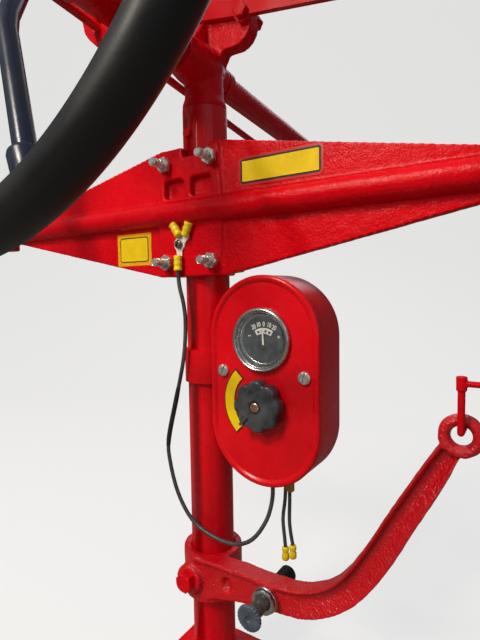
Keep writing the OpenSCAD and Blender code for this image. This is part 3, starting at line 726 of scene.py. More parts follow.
class Recipe:
    """A material in the making: its shader, and the steps that the finishes share."""

    def __init__(self, name: str) -> None:
        """Starts a material with a bare shader and Object coordinates.

        Args:
            name: the material's name.
        """
        self.material = bpy.data.materials.new(name)
        self.material.use_nodes = True
        self.tree = self.material.node_tree
        self.tree.nodes.clear()
        self.shader = add_node(self.tree, "ShaderNodeBsdfPrincipled")
        add_node(self.tree, "ShaderNodeOutputMaterial", inputs={"Surface": self.shader.outputs[0]})
        self.where = add_node(self.tree, "ShaderNodeTexCoord").outputs["Object"]

    def set(self, inputs: dict[str, Any]) -> None:
        """Fills or links the shader's inputs."""
        fill(self.tree, self.shader, inputs)

    def patches(self, grain: Grain, low: float, high: float, least: float = 0.0,
                most: float = 1.0) -> Socket:
        """Makes soft patches out of a grain.

        Args:
            grain: size and detail of the patches.
            low: the noise that lies between the patches.
            high: the noise in their middle.
            least: the value between them.
            most: the value in their middle.

        Returns:
            The patches' value.
        """
        made = add_node(self.tree, "ShaderNodeTexNoise", inputs=grain.inputs(self.where))
        return add_node(self.tree, "ShaderNodeMapRange",
                        inputs=span(made.outputs["Fac"], low, high, least, most)).outputs[0]

    def colours(self, first: str, layers: Sequence[tuple[Socket, str]]) -> None:
        """Lays colours over one another as the base colour.

        Args:
            first: the hex colour underneath.
            layers: the share and the hex colour of each layer over it.
        """
        colour: Any = linear(first)
        for share, over in layers:
            mixed = add_node(self.tree, "ShaderNodeMix", {"data_type": "RGBA"},
                             {0: share, 6: colour, 7: linear(over)})
            colour = mixed.outputs[2]
        self.set({"Base Color": colour})

    def dulled(self, patch: Socket, roughness: float, more: float) -> None:
        """Sets the roughness, with more of it in the patches.

        Args:
            patch: the patches' value.
            roughness: the roughness between them.
            more: what their middle has on top.
        """
        dull = add_node(self.tree, "ShaderNodeMapRange",
                        inputs=span(patch, 0.0, 1.0, roughness, min(1.0, roughness + more)))
        self.set({"Roughness": dull.outputs[0]})

    def relief(self, grain: Grain, depth: float, where: Socket | None = None,
               under: Socket | None = None) -> Socket:
        """Makes a relief out of a grain.

        Args:
            grain: size and detail of the relief.
            depth: its depth in millimetres.
            where: its own coordinates, if it has any.
            under: the relief that it lies on, if there is one.

        Returns:
            The normal.
        """
        height = add_node(self.tree, "ShaderNodeTexNoise",
                          inputs=grain.inputs(self.where if where is None else where))
        inputs = {"Height": height.outputs["Fac"], "Distance": depth * METRE, "Strength": 1.0}
        if under is not None:
            inputs["Normal"] = under
        return add_node(self.tree, "ShaderNodeBump", inputs=inputs).outputs[0]


def seen_directly(tree: Tree) -> Socket:
    """Makes the value that is 1 where the camera looks at a thing itself or through glass.

    Args:
        tree: the material's or the world's tree.

    Returns:
        The value.
    """
    ray = add_node(tree, "ShaderNodeLightPath")
    return add_node(tree, "ShaderNodeMath", {"operation": "MAXIMUM"}, {
        0: ray.outputs["Is Camera Ray"], 1: ray.outputs["Is Transmission Ray"]}).outputs[0]


@dataclass(frozen=True)
class Enamel:
    """Sprayed gloss machinery enamel, over rough sand castings or over smooth tube and sheet.

    The casting's grain shows through the paint as small bright lumps, and painted shade darkens
    the hollows. On smooth steel only a faint orange peel stays. Moulding sand is
    finer than the picture can show, so its lumps are drawn about three times as coarse.
    """

    name: str
    colour: str = "#CE0010"
    # Deep red for the random dark specks, and for the painted shade in the hollows.
    deep: str = "#8A000C"
    pale: str = "#DA0A18"
    grain_mm: float = 2.2
    grain_depth: float = 0.8
    peel_depth: float = 0.03
    roughness: float = 0.22
    shade_in_hollows: bool = True
    shine: float = 0.26
    coat: float = 0.0
    coat_roughness: float = 0.07
    fading: Grain = Grain(60, 3)
    specks: Grain = Grain(7, 4, 0.65)
    cloud: Grain = Grain(25, 3)
    peel: Grain = Grain(1.1, 1)

    def build(self) -> bpy.types.Material:
        """Makes the material.

        Returns:
            The material.
        """
        made = Recipe(self.name)
        layers = [(made.patches(self.fading, 0.35, 0.7), self.pale),
                  (made.patches(self.specks, 0.55, 0.78, 0.0, 0.35), self.deep)]
        # Painted shade: pointiness lays the deep colour into hollows and creases.
        if self.shade_in_hollows:
            edge = add_node(made.tree, "ShaderNodeNewGeometry").outputs["Pointiness"]
            painted_crevice_shade = add_node(made.tree, "ShaderNodeMapRange", inputs=span(edge, 0.49, 0.44, 0.0, 0.75))
            layers.append((painted_crevice_shade.outputs[0], self.deep))
        made.colours(self.colour, layers)
        lumps = made.relief(Grain(self.grain_mm, 3, 0.55), self.grain_depth)
        normal = made.relief(self.peel, self.peel_depth, under=lumps)
        made.set({"Roughness": made.patches(self.cloud, 0.3, 0.75, self.roughness, self.roughness + 0.14),
                  "Normal": normal, "Specular IOR Level": self.shine})
        if self.coat:
            made.set({"Coat Weight": self.coat, "Coat Roughness": self.coat_roughness,
                      "Coat Normal": normal})
        return made.material


@dataclass(frozen=True)
class Metal:
    """Bare or plated metal: zinc-plated steel, polished chrome or brass, each with its own wear.

    Plating dulls in soft patches, and handling leaves fine scratches that catch the light.
    Real ones are hair-fine, so they are drawn half a millimetre wide to show at all.
    """

    name: str
    colour: str
    dull: str
    roughness: float
    patch_mm: float = 6.0
    scratch_depth: float = 0.01
    cloud: float = 0.16
    metallic: float = 1.0
    scratch: Grain = Grain(0.5)
    drawn_out: float = 0.12

    def build(self) -> bpy.types.Material:
        """Makes the material.

        Returns:
            The material.
        """
        made = Recipe(self.name)
        patch = made.patches(Grain(self.patch_mm, 4, 0.6), 0.42, 0.7)
        made.colours(self.colour, [(patch, self.dull)])
        made.dulled(patch, self.roughness, self.cloud)
        drawn = add_node(made.tree, "ShaderNodeMapping",
                         inputs={"Vector": made.where, "Scale": (1.0, 1.0, self.drawn_out)})
        made.set({"Metallic": self.metallic,
                  "Normal": made.relief(self.scratch, self.scratch_depth, drawn.outputs[0])})
        return made.material


@dataclass(frozen=True)
class Moulded:
    """Moulded plastic or rubber: phenolic, PVC, nylon or hard rubber.

    Years of hands and weather leave a greyer bloom in patches, and fine pores in the skin,
    which are drawn about a millimetre wide because real ones wouldn't show.
    """

    name: str
    colour: str
    worn: str
    roughness: float
    patch_mm: float = 14.0
    pore_mm: float = 0.9
    pore_depth: float = 0.03
    bloom: float = 0.5
    shine: float = 0.5
    scuffs: Grain = Grain(2.2, 3, 0.7)
    worn_dull: float = 0.35

    def build(self) -> bpy.types.Material:
        """Makes the material.

        Returns:
            The material.
        """
        made = Recipe(self.name)
        patch = made.patches(Grain(self.patch_mm, 4, 0.6), 0.4, 0.75, 0.0, self.bloom)
        scuff = made.patches(self.scuffs, 0.6, 0.72, 0.0, 0.6)
        made.colours(self.colour, [(patch, self.worn), (scuff, self.worn)])
        made.dulled(patch, self.roughness, self.worn_dull)
        made.set({"Normal": made.relief(Grain(self.pore_mm), self.pore_depth),
                  "Specular IOR Level": self.shine})
        return made.material


@dataclass(frozen=True)
class Sheet:
    """Printed vinyl film or a printed metal dial: an even colour with slight fading and dust."""

    name: str
    colour: str
    faded: str
    roughness: float
    peel_mm: float = 5.0
    peel_depth: float = 0.03
    shine: float = 0.3
    fading: Grain = Grain(18, 4, 0.6)
    faded_dull: float = 0.12

    def build(self) -> bpy.types.Material:
        """Makes the material.

        Returns:
            The material.
        """
        made = Recipe(self.name)
        fade = made.patches(self.fading, 0.35, 0.75)
        made.colours(self.colour, [(fade, self.faded)])
        made.dulled(fade, self.roughness, self.faded_dull)
        made.set({"Normal": made.relief(Grain(self.peel_mm), self.peel_depth),
                  "Specular IOR Level": self.shine})
        return made.material


@dataclass(frozen=True)
class Lens:
    """Thin window glass, with a little dust and a pale painted sheen that grows at a slant."""

    name: str
    # Pale bluish tint, seen in the dust and in the painted sheen.
    colour: str = "#C9D2D6"
    dusty: str = "#FFFFFF"
    cover: float = 0.035
    painted_sheen: float = 0.2
    painted_sheen_blend: float = 0.25
    roughness: float = 0.05
    dust: Grain = Grain(9, 5, 0.7)

    def build(self) -> bpy.types.Material:
        """Makes the material.

        Returns:
            The material.
        """
        made = Recipe(self.name)
        dust = made.patches(self.dust, 0.45, 0.8, self.cover * 0.6, self.cover * 2.2)
        # Painted sheen: the pale layer shows more where the glass turns away from the view, over the dust
        # patches.
        painted_sheen_facing = add_node(made.tree, "ShaderNodeLayerWeight", inputs={"Blend": self.painted_sheen_blend})
        cover = add_node(made.tree, "ShaderNodeMath", {"operation": "MULTIPLY_ADD"}, {
            0: painted_sheen_facing.outputs["Facing"], 1: self.painted_sheen, 2: dust})
        made.colours(self.colour, [(dust, self.dusty)])
        made.set({"Alpha": cover.outputs[0], "Roughness": self.roughness})
        made.material.blend_method = "BLEND"
        return made.material


@dataclass(frozen=True)
class Studio:
    """Pale studio paper with uneven tone, which looks nearly white to the camera."""

    name: str
    colour: str = "#7C7A76"
    second: str = "#716F6B"
    glow: str = "#FFFFFF"
    lift: float = 0.69
    tone: Grain = Grain(400)

    def build(self) -> bpy.types.Material:
        """Makes the material.

        Returns:
            The material.
        """
        made = Recipe(self.name)
        made.colours(self.colour, [(made.patches(self.tone, 0.3, 0.7, 0.0, 0.06), self.second)])
        lift = add_node(made.tree, "ShaderNodeMapRange",
                        inputs=span(seen_directly(made.tree), 0.0, 1.0, 0.0, self.lift))
        made.set({"Roughness": 1.0, "Specular IOR Level": 0.0, "Emission Color": linear(self.glow),
                  "Emission Strength": lift.outputs[0]})
        return made.material


class Finish(Enum):
    """The finishes of this object, each named for its real material."""

    # Gloss paint on rough cast iron: small soft lumps, with painted shade in the hollows.
    CAST_ENAMEL = Enamel("enamel_on_sand_casting", grain_depth=0.42, shine=0.11)
    # Thicker paint on the arm's coarser skin: bright broken glints under a clear top.
    ARM_ENAMEL = Enamel("enamel_on_coarse_casting", grain_mm=2.4, grain_depth=1.5, roughness=0.15,
                        shine=0.42, coat=0.3)
    # Paint on drawn sheet and tube: long soft highlights with a faint orange peel.
    STEEL_ENAMEL = Enamel("enamel_on_smooth_steel", grain_mm=9.0, grain_depth=0.10, peel_depth=0.02,
                          roughness=0.20, shade_in_hollows=False)
    # Paint on rolled tube with some scale under it, so its highlights ripple.
    SHADE_ENAMEL = Enamel("enamel_on_rough_tube", grain_mm=3.4, grain_depth=0.14, peel_depth=0.03,
                          roughness=0.22, shade_in_hollows=False)
    # Plated steel: bright and slightly cloudy, near white where it faces the light.
    ZINC = Metal("zinc_plated_steel", "#E4E3DE", "#A9A7A1", 0.26, metallic=0.85)
    # Old chrome: sharp light and dark streaks, with dull spots.
    CHROME = Metal("worn_chrome_plate", "#CFCEC9", "#9C988F", 0.22, 3.0, 0.012, 0.2)
    # The gauge's pressed inner ring: even grey, without plating.
    DARK_STEEL = Metal("dull_steel_ring", "#B9BCBE", "#83878A", 0.27)
    # Blackened steel takes nearly no light.
    BODY_STEEL = Metal("blackened_steel", "#35322F", "#242220", 0.5)
    # Tinned copper looks whiter and softer than zinc.
    TIN = Metal("tinned_copper", "#F3F0EA", "#DAD6CE", 0.45, 3.0, metallic=0.3)
    # A screw that has lost its plating, brownish grey.
    SCREW_STEEL = Metal("weathered_screw_steel", "#7D756C", "#4B4540", 0.34, 2.0, metallic=0.8)
    # Brass gone pink and brown, bright on the dome.
    BRASS = Metal("worn_brass", "#C9A48C", "#8A6450", 0.32, 2.0)
    # Polished phenolic: dark with a clear sheen, grey where hands have worn it.
    PHENOLIC = Moulded("black_phenolic", "#2E3033", "#6C6F72", 0.26)
    # The same plastic, in a paler bluish grey.
    BUTTON = Moulded("bluish_grey_phenolic", "#3A424E", "#6F7A89", 0.36, 8.0)
    # Brown phenolic, rubbed paler.
    STEM = Moulded("worn_brown_phenolic", "#3B3632", "#7A7067", 0.34, 8.0)
    # Soft lead insulation with a long thin highlight.
    PVC = Moulded("grey_black_pvc_lead", "#3A3A3C", "#66655F", 0.30, 20.0, 1.2, 0.02)
    # Shrink sleeve: blacker and duller than the lead.
    SLEEVE = Moulded("black_shrink_sleeve", "#141415", "#2B2B2B", 0.5)
    # Crimped nylon sleeves: waxy clear yellow.
    YELLOW = Moulded("yellow_nylon_sleeve", "#F4D80C", "#D2B00C", 0.30, 6.0, 1.4, 0.05, 0.5)
    # Dull dark rubber.
    RUBBER = Moulded("grommet_rubber", "#171717", "#343331", 0.62)
    # The rim's hard rubber: nearly black, polished by hands.
    RIM = Moulded("hard_rubber_rim", "#0A0A0B", "#1A1A1B", 0.38, 40.0, 1.6, 0.03, 0.4, 0.4)
    # Dark enamel on the spokes and the hub, which looks blue in the light.
    SPOKE = Enamel("dark_gloss_enamel", "#161B29", "#0B0D14", "#20283C", 8.0, 0.06, 0.02, 0.22, False)
    # The dial's painted plate, greyed behind its glass.
    DIAL = Sheet("dial_plate_black", "#23272C", "#33383D", 0.42)
    # Dull white print.
    MARK = Sheet("dial_print_white", "#F1EFE8", "#DEDCD2", 0.5)
    # Sign vinyl, rough enough not to glare.
    SIGN = Sheet("vinyl_sign_yellow", "#F2CE12", "#E2BB12", 0.46, shine=0.16)
    # The deeper orange margin of the second sign.
    PLATE = Sheet("vinyl_sign_orange", "#F0B010", "#DD9E12", 0.30)
    # Printed black lines.
    INK = Sheet("vinyl_print_black", "#0E0D0B", "#1A1814", 0.4)
    # Clear film over red paint, seen as a slightly paler red.
    FILM = Sheet("clear_vinyl_margin", "#C52A2C", "#B8363A", 0.18)
    # Nylon gone brown with heat and oil.
    OCHRE = Moulded("aged_nylon_plug", "#A9842C", "#8A6A22", 0.4, 5.0, 1.4, 0.04)
    # Window glass: the dial stays clear behind a pale painted sheen and some dust.
    GLASS = Lens("gauge_window_glass")
    # Matt paper, which takes the shadow without a shine of its own.
    FLOOR = Studio("studio_floor_paper")


# Bench


class Bench:
    """Turns shapes into finished pieces, and keeps what they share."""

    def __init__(self, frame: dict[str, Any]) -> None:
        """Keeps the loaded frame and makes the shared trees.

        Args:
            frame: what the frame holds, with its nodes by name.
        """
        self.nodes = frame["nodes"]
        self.made: dict[Finish, bpy.types.Material] = {}
        self.ring, self.spot = ring_tree(), spot_tree()
        self.thread, self.bar = thread_tree(), bar_tree()

    def material(self, finish: Finish) -> bpy.types.Material:
        """Looks a finish's material up, and makes it the first time.

        Args:
            finish: the finish.

        Returns:
            Its material.
        """
        if finish not in self.made:
            self.made[finish] = finish.value.build()
        return self.made[finish]

    def node_shape(self, node: str) -> Shape:
        """Copies a CAD node's mesh, with its doubles merged.

        Args:
            node: the node's name.

        Returns:
            Its shape in mm.
        """
        shape = bmesh.new()
        shape.from_mesh(self.nodes[node].data)
        bmesh.ops.scale(shape, vec=(MM_IN_METRE,) * 3, verts=shape.verts)
        bmesh.ops.remove_doubles(shape, verts=shape.verts, dist=0.002)
        return shape

    def template(self, shape: Shape) -> bpy.types.Object:
        """Makes a hidden object for a tree to repeat.

        Args:
            shape: the shape to repeat.

        Returns:
            The object, outside the scene.
        """
        mesh = written(shape, "template")
        mesh.shade_smooth()
        mesh.set_sharp_from_angle(angle=math.radians(30))
        return bpy.data.objects.new("template", mesh)

    def piece(self, name: str, shapes: Shape | Sequence[Shape], finish: Finish, slot: Slot,
              place: Place = UPRIGHT, body: Body = Body.POST, replaces: Sequence[str] = (),
              sharp: float = 32.0) -> bpy.types.Object:
        """Makes a finished piece, with its place in its mesh.

        Args:
            name: the piece's name.
            shapes: one shape or several, in the place's frame and in mm.
            finish: its finish.
            slot: the record's slot of that finish. Not used.
            place: the frame that the shapes are in.
            body: the body it rides on.
            replaces: the CAD nodes that it stands for.
            sharp: edges that turn by more than this stay sharp, in degrees.

        Returns:
            The piece's object.
        """
        whole = join(shapes if isinstance(shapes, (list, tuple)) else [shapes])
        for face in whole.faces:
            face.material_index = 0
        mesh = written(whole, name)
        mesh.materials.clear()
        mesh.transform(Matrix.Scale(METRE, 4) @ place.matrix())
        mesh.materials.append(self.material(finish))
        mesh.shade_smooth()
        mesh.set_sharp_from_angle(angle=math.radians(sharp))
        piece = stand(name, mesh)
        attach(piece, body.value)
        if replaces:
            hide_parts(*replaces)
        log.info("%s: %d faces, %s", name, len(mesh.polygons), finish.value.name)
        return piece

    def dress(self, nodes: Iterable[str], finish: Finish, slot: Slot, body: Body = Body.POST) -> None:
        """Shows CAD nodes as smooth copies with a finish."""
        for node in nodes:
            self.piece(node + "_skin", self.node_shape(node), finish, slot, body=body, replaces=[node])

    def casting(self, node: str, voxel: float, rounds: int = 6, rough: float = 0.22,
                body: Body = Body.POST, bore: tuple[Place, float] | None = None,
                finish: Finish = Finish.CAST_ENAMEL,
                carve: Callable[[np.ndarray], None] | None = None) -> None:
        """Makes a CAD node look cast, with soft edges, filled corners and an uneven skin.

        Args:
            node: the CAD node that it stands for.
            voxel: fineness of the new skin.
            rounds: how often the skin is smoothed.
            rough: height of the casting's unevenness.
            body: the body it rides on.
            bore: frame and radius of a bore that is kept clear.
            finish: its finish.
            carve: what moves the skin's points in place before they get their unevenness.
        """
        carrier = stand("rough", written(self.node_shape(node), "rough"))
        skin = carrier.modifiers.new("skin", "REMESH")
        skin.mode, skin.voxel_size, skin.adaptivity = "VOXEL", voxel, 0.0
        ease = carrier.modifiers.new("ease", "SMOOTH")
        ease.factor, ease.iterations = 0.5, rounds
        soft = settled(carrier)
        at, away = np.zeros(len(soft.vertices) * 3), np.zeros(len(soft.vertices) * 3)
        soft.vertices.foreach_get("co", at)
        soft.vertices.foreach_get("normal", away)
        at, away = at.reshape(-1, 3), away.reshape(-1, 3)
        if carve:
            carve(at)
        at = at + away * (self.unevenness(at) * rough)[:, None]
        if bore:
            self.clear(at, *bore)
        soft.vertices.foreach_set("co", at.ravel())
        whole = taken(soft)
        for _ in range(2 if carve else 0):
            bmesh.ops.smooth_vert(whole, verts=whole.verts, factor=0.5, use_axis_x=True, use_axis_y=True,
                                  use_axis_z=True)
        self.piece(node + "_casting", whole, finish, Slot.ENAMEL, body=body, replaces=[node], sharp=60)

    @staticmethod
    def unevenness(at: np.ndarray) -> np.ndarray:
        """Works out a cast skin's waves.

        Args:
            at: points on the skin, in mm.

        Returns:
            Each point's height on long waves and on short ones that are half as high.
        """
        long_wave, short_wave = 9.0, 3.6
        return np.array([noise.noise(Vector(p) / long_wave) + 0.5 * noise.noise(Vector(p) / short_wave)
                         for p in at])

    @staticmethod
    def clear(at: np.ndarray, place: Place, radius: float) -> None:
        """Moves points out of a bore, onto its wall.

        Args:
            at: the points, which are changed in place.
            place: the bore's frame, with out along its line.
            radius: the bore's radius.
        """
        middle, line = np.array(place.origin), np.array(place.out)
        foot = middle + ((at - middle) @ line)[:, None] * line
        off = at - foot
        far = np.linalg.norm(off, axis=1)
        near = far < radius
        at[near] = foot[near] + off[near] / np.maximum(far[near], 1e-6)[:, None] * radius


# Sub-assemblies


@dataclass
class Castings:
    """The rough castings, and the tubes and bars that they carry."""

    clearance: float = 0.25

    def build(self, bench: Bench) -> None:
        """Makes every casting and dresses the plain steel.

        Args:
            bench: what makes the pieces.
        """
        bench.casting("cross_beam", 1.4, 2)
        bench.casting("head_casting", 1.5, bore=(SHAFT.place(0), SHAFT.radius + self.clearance))
        bench.casting("rod_bracket", 1.1, 4)
        bench.casting("beam_clamp", 1.8)
        bench.casting("foot", 1.8)
        bench.casting("shaft_coupling", 1.4, 4, body=Body.STEERING)
        bench.dress(["post_tube", "head_bar", "throttle_rod", "throttle_lever", "box_strap"],
                    Finish.STEEL_ENAMEL, Slot.ENAMEL)
        bench.dress(["column_tube"], Finish.SHADE_ENAMEL, Slot.ENAMEL)
        bench.dress(["steering_shaft", "shaft_collar"], Finish.SHADE_ENAMEL, Slot.ENAMEL, Body.STEERING)
        bench.casting("eye_rod", 0.5, 5, 0.08)
        bench.casting("head_bar_bolts", 0.8, 2, 0.05)
        bench.dress(["strap_bolts"], Finish.ZINC, Slot.STEEL)
        bench.dress(["pull_body"], Finish.BODY_STEEL, Slot.STEEL)
        bench.dress(["throttle_knob"], Finish.PHENOLIC, Slot.PHENOLIC)
        bench.dress(["lead_grommets"], Finish.RUBBER, Slot.GROMMET)


@dataclass
class Arm:
    """The cast arm with its lifted edge, its round eye, and the paint beads at its root."""

    top_z: float = 158.0
    face: float = 34.0
    rise: float = 5.0
    eye: tuple[float, float] = (246.0, 322.0)
    eye_r: float = 15.5
    eye_reach: float = 0.8
    hole_r: float = 8.0
    thick: float = 20.0
    root_way: tuple[float, float] = (-0.52, -0.85)
    pull: tuple[float, float] = (84.0, 142.0)
    pull_clear: float = 14.0
    hollow: float = 2.6
    hollow_x: float = 95.0
    bead_out: float = 7.0
    swell_out: float = 5.6
    dimple: tuple[float, float] = (37.0, 136.7)
    dimple_size: tuple[float, float] = (6.6, 8.0)
    dimple_depth: float = 5.0
    dots: tuple[float, float, float] = (20.0, 114.0, 150.0)
    dot_count: int = 9

    def line(self) -> np.ndarray:
        """Draws the arm's middle line, as in the source.

        Returns:
            Rows of x, z and half width.
        """
        rows = [(0, -24, 23), (50, -17, 17.5), (85, -15, 15.2), (116, -11, 13.5), (139, -1, 12),
                (158, 13.5, 11.5), (174, 34, 11.5), (190, 61, 11.5), (203, 86, 11), (226, 128, 10),
                (238, 151, 8), (self.eye[0], self.eye[1] - self.top_z, 7)]
        return np.array([(p.x, p.y + self.top_z, p.z) for p in smooth_line(rows, 6)])

    def below_edge(self, at: np.ndarray) -> tuple[np.ndarray, np.ndarray]:
        """Measures how far points lie below the arm's upper edge.

        Args:
            at: the points.

        Returns:
            Each point's distance from the edge, square to it, and the arm's width there.
        """
        line = self.line()
        middle = (line[1:] + line[:-1]) / 2
        step = line[1:, :2] - line[:-1, :2]
        step /= np.linalg.norm(step, axis=1)[:, None]
        off = at[:, None, ::2] - middle[None, :, :2]
        near = np.argmin(np.linalg.norm(off, axis=2), axis=1)
        off = off[np.arange(len(at)), near]
        rise = off[:, 1] * step[near, 0] - off[:, 0] * step[near, 1]
        return middle[near, 2] - rise, 2 * middle[near, 2]

    def from_eye(self, at: np.ndarray) -> np.ndarray:
        """How far each point is from the eye's line."""
        return np.hypot(at[:, 0] - self.eye[0], at[:, 2] - self.eye[1])

    def hollow_front(self, at: np.ndarray) -> None:
        """Hollows the front between a bead on its upper edge and a swelling on its lower one.

        Args:
            at: the skin's points, which are changed in place.
        """
        x, y, z = at.T
        floor = self.rise - self.face + self.hollow
        clear = (self.from_eye(at) > self.eye_r + self.eye_reach) & (
            np.hypot(x - self.pull[0], z - self.pull[1]) > self.pull_clear)
        front = np.flatnonzero((y < floor) & clear & (x > self.hollow_x))
        below, width = self.below_edge(at[front])
        share = (ramp(x[front], self.hollow_x, self.hollow_x + 45) * ramp(below, 2.2, 3.2)
                 * ramp(y[front], floor, floor - 2))
        bead = floor - self.bead_out * ramp(below, 4.6, 2.6) ** 1.5
        swelling = floor - 0.2 - self.swell_out * ramp(below, 11.0, 11.0 + np.maximum(width - 12.5, 4))
        at[front, 1] += (np.minimum(bead, swelling) - y[front]) * share

    def dent_root(self, at: np.ndarray) -> None:
        """Presses a shallow dimple into the arm's root.

        Args:
            at: the skin's points, which are changed in place.
        """
        x, y, z = at.T
        away = np.hypot((x - self.dimple[0]) / self.dimple_size[0],
                        (z - self.dimple[1]) / self.dimple_size[1])
        dent = np.clip(1.6 - 1.6 * away ** 2, 0, 1)
        at[:, 1] += np.where(y < self.rise - self.face + 2, self.dimple_depth * dent, 0)

    def round_eye(self, at: np.ndarray) -> None:
        """Rounds the eye's ring and sets its front back, except where the arm runs into it.

        Args:
            at: the skin's points, which are changed in place.
        """
        ring = np.flatnonzero(self.from_eye(at) < self.eye_r + self.eye_reach)
        y = at[ring, 1]
        middle, half = (self.eye_r + self.hole_r) / 2, (self.eye_r - self.hole_r) / 2
        out = at[ring][:, ::2] - np.array(self.eye)
        far = np.linalg.norm(out, axis=1)
        share = np.where(far < middle, 1.0, ramp(out @ np.array(self.root_way) / far, 0.78, 0.48))
        deep = (y + self.face) * (1 - 0.4 * share) - self.face
        reach = self.thick * 0.3
        centre = reach - self.face
        u = np.clip((far - middle) / half, -1, 1)
        w = np.clip((deep - centre) / reach, -1, 1)
        u_round = u * (1 - share * (1 - np.sqrt(1 - w * w / 2)))
        w_round = w * (1 - share * (1 - np.sqrt(1 - u * u / 2)))
        grown = np.where(share > 0, middle + (half + 0.6) * u_round, far)
        at[ring, ::2] = np.array(self.eye) + out / far[:, None] * grown[:, None]
        at[ring, 1] = np.where(share > 0, centre + reach * w_round + (y - deep) * (1 - share), y)

    def carve(self, at: np.ndarray) -> None:
        """Gives the arm its hollow front, its dimple and its round eye.

        Args:
            at: the skin's points, which are changed in place.
        """
        self.hollow_front(at)
        self.dent_root(at)
        self.round_eye(at)

    def build(self, bench: Bench) -> None:
        """Makes the arm and the row of paint beads at its root.

        Args:
            bench: what makes the pieces.
        """
        bench.casting("arm_bracket", 1.2, 9, 0.3, finish=Finish.ARM_ENAMEL, carve=self.carve)
        bead = bench.template(lathe([(0, -0.4), (0.95, -0.4), (0.8, 0.4), (0, 0.7)], 10))
        x, low, high = self.dots
        step, swing = (high - low) / (self.dot_count - 1), 0.5
        rows = [(x + swing * math.sin(3 * k), low + step * k, 0) for k in range(self.dot_count)]
        beads = grow(bench.spot, {"Piece": bead, "Turn": 1.1, "Material": bench.material(Finish.ARM_ENAMEL)},
                     line_mesh(rows))
        bench.piece("arm_paint_beads", beads, Finish.ARM_ENAMEL, Slot.ENAMEL,
                    facing(0, 0, self.face - self.rise))


@dataclass
class Fasteners:
    """The beam's studs and nuts, and the painted screws of the head and the arm."""

    stud_x: float = 28.0
    stud_up: float = 48.5
    stud_r: float = 4.0
    stud_back: float = 24.0
    stud_out: float = 21.0
    beam_z: float = 506.0
    face: float = 30.0
    back: float = 14.0
    nut_af: float = 14.0
    nut_t: float = 6.0
    pitch: float = 1.25
    thread: float = 0.22
    wire: float = 0.34

    def places(self) -> list[tuple[float, float]]:
        """Where the studs are, in x and z."""
        return [(x * self.stud_x, self.beam_z + z * self.stud_up) for x in (-1, 1) for z in (-1, 1)]

    def studs(self, bench: Bench) -> None:
        """Makes the studs, with threads on the ends that stick out of their nuts.

        Args:
            bench: what makes the pieces.
        """
        out, core = self.face + self.stud_out, self.stud_r - self.thread
        length = self.stud_out - self.nut_t + 2
        parts = []
        for x, z in self.places():
            rod = lathe([(0, -self.stud_back), (core, -self.stud_back), (core, out - 1.2),
                         (core - 1.0, out), (0, out)], 32)
            rod.transform(facing(x, z, 0).matrix())
            wound = grow(bench.thread, {"Radius": core, "Turns": length / self.pitch, "Length": length,
                                        "Wire": self.wire, "Material": bench.material(Finish.ZINC)})
            wound.transform(facing(x, z, out - 0.9 - length).matrix())
            parts += [rod, wound]
        bench.piece("beam_stud_set", parts, Finish.ZINC, Slot.STEEL, replaces=["beam_studs"])

    def nuts(self, bench: Bench) -> None:
        """Makes the nuts in front of the beam and behind its clamp.

        Args:
            bench: what makes the pieces.
        """
        nut = bench.template(hex_nut(self.nut_af, self.nut_t, self.stud_r - 0.3))
        parts = []
        for level in (self.face, -self.back - self.nut_t):
            nuts = grow(bench.spot, {"Piece": nut, "Turn": 0.7, "Material": bench.material(Finish.ZINC)},
                        line_mesh([(x, z, level) for x, z in self.places()]))
            nuts.transform(facing(0, 0, 0).matrix())
            parts.append(nuts)
        bench.piece("beam_nut_set", parts, Finish.ZINC, Slot.STEEL, replaces=["beam_nuts"])

    @staticmethod
    def back_of(box: Iterable[Vector]) -> Place:
        """The frame in the middle of a box's far side, from the box's two corners in metres."""
        low, high = (corner * MM_IN_METRE for corner in box)
        return facing((low.x + high.x) / 2, (low.z + high.z) / 2, -high.y)

    def build(self, bench: Bench) -> None:
        """Makes the studs, the nuts and the two painted heads.

        Args:
            bench: what makes the pieces.
        """
        self.studs(bench)
        self.nuts(bench)
        washer = lathe([(0, 0), (5.0, 0), (5.0, 0.6), (4.6, 1.0), (0, 1.0)], 32)
        head = hex_nut(8, 3.5, back_edge=False)
        head.transform(shift(0, 0, 1))
        bench.piece("head_screw_hexagon", [washer, head], Finish.CAST_ENAMEL, Slot.ENAMEL,
                    self.back_of(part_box("head_screw")), replaces=["head_screw"])
        bench.piece("arm_bolt_head", hex_nut(18, 8, back_edge=False), Finish.CAST_ENAMEL, Slot.ENAMEL,
                    self.back_of(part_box("arm_bolt")).turned(14), replaces=["arm_bolt"])


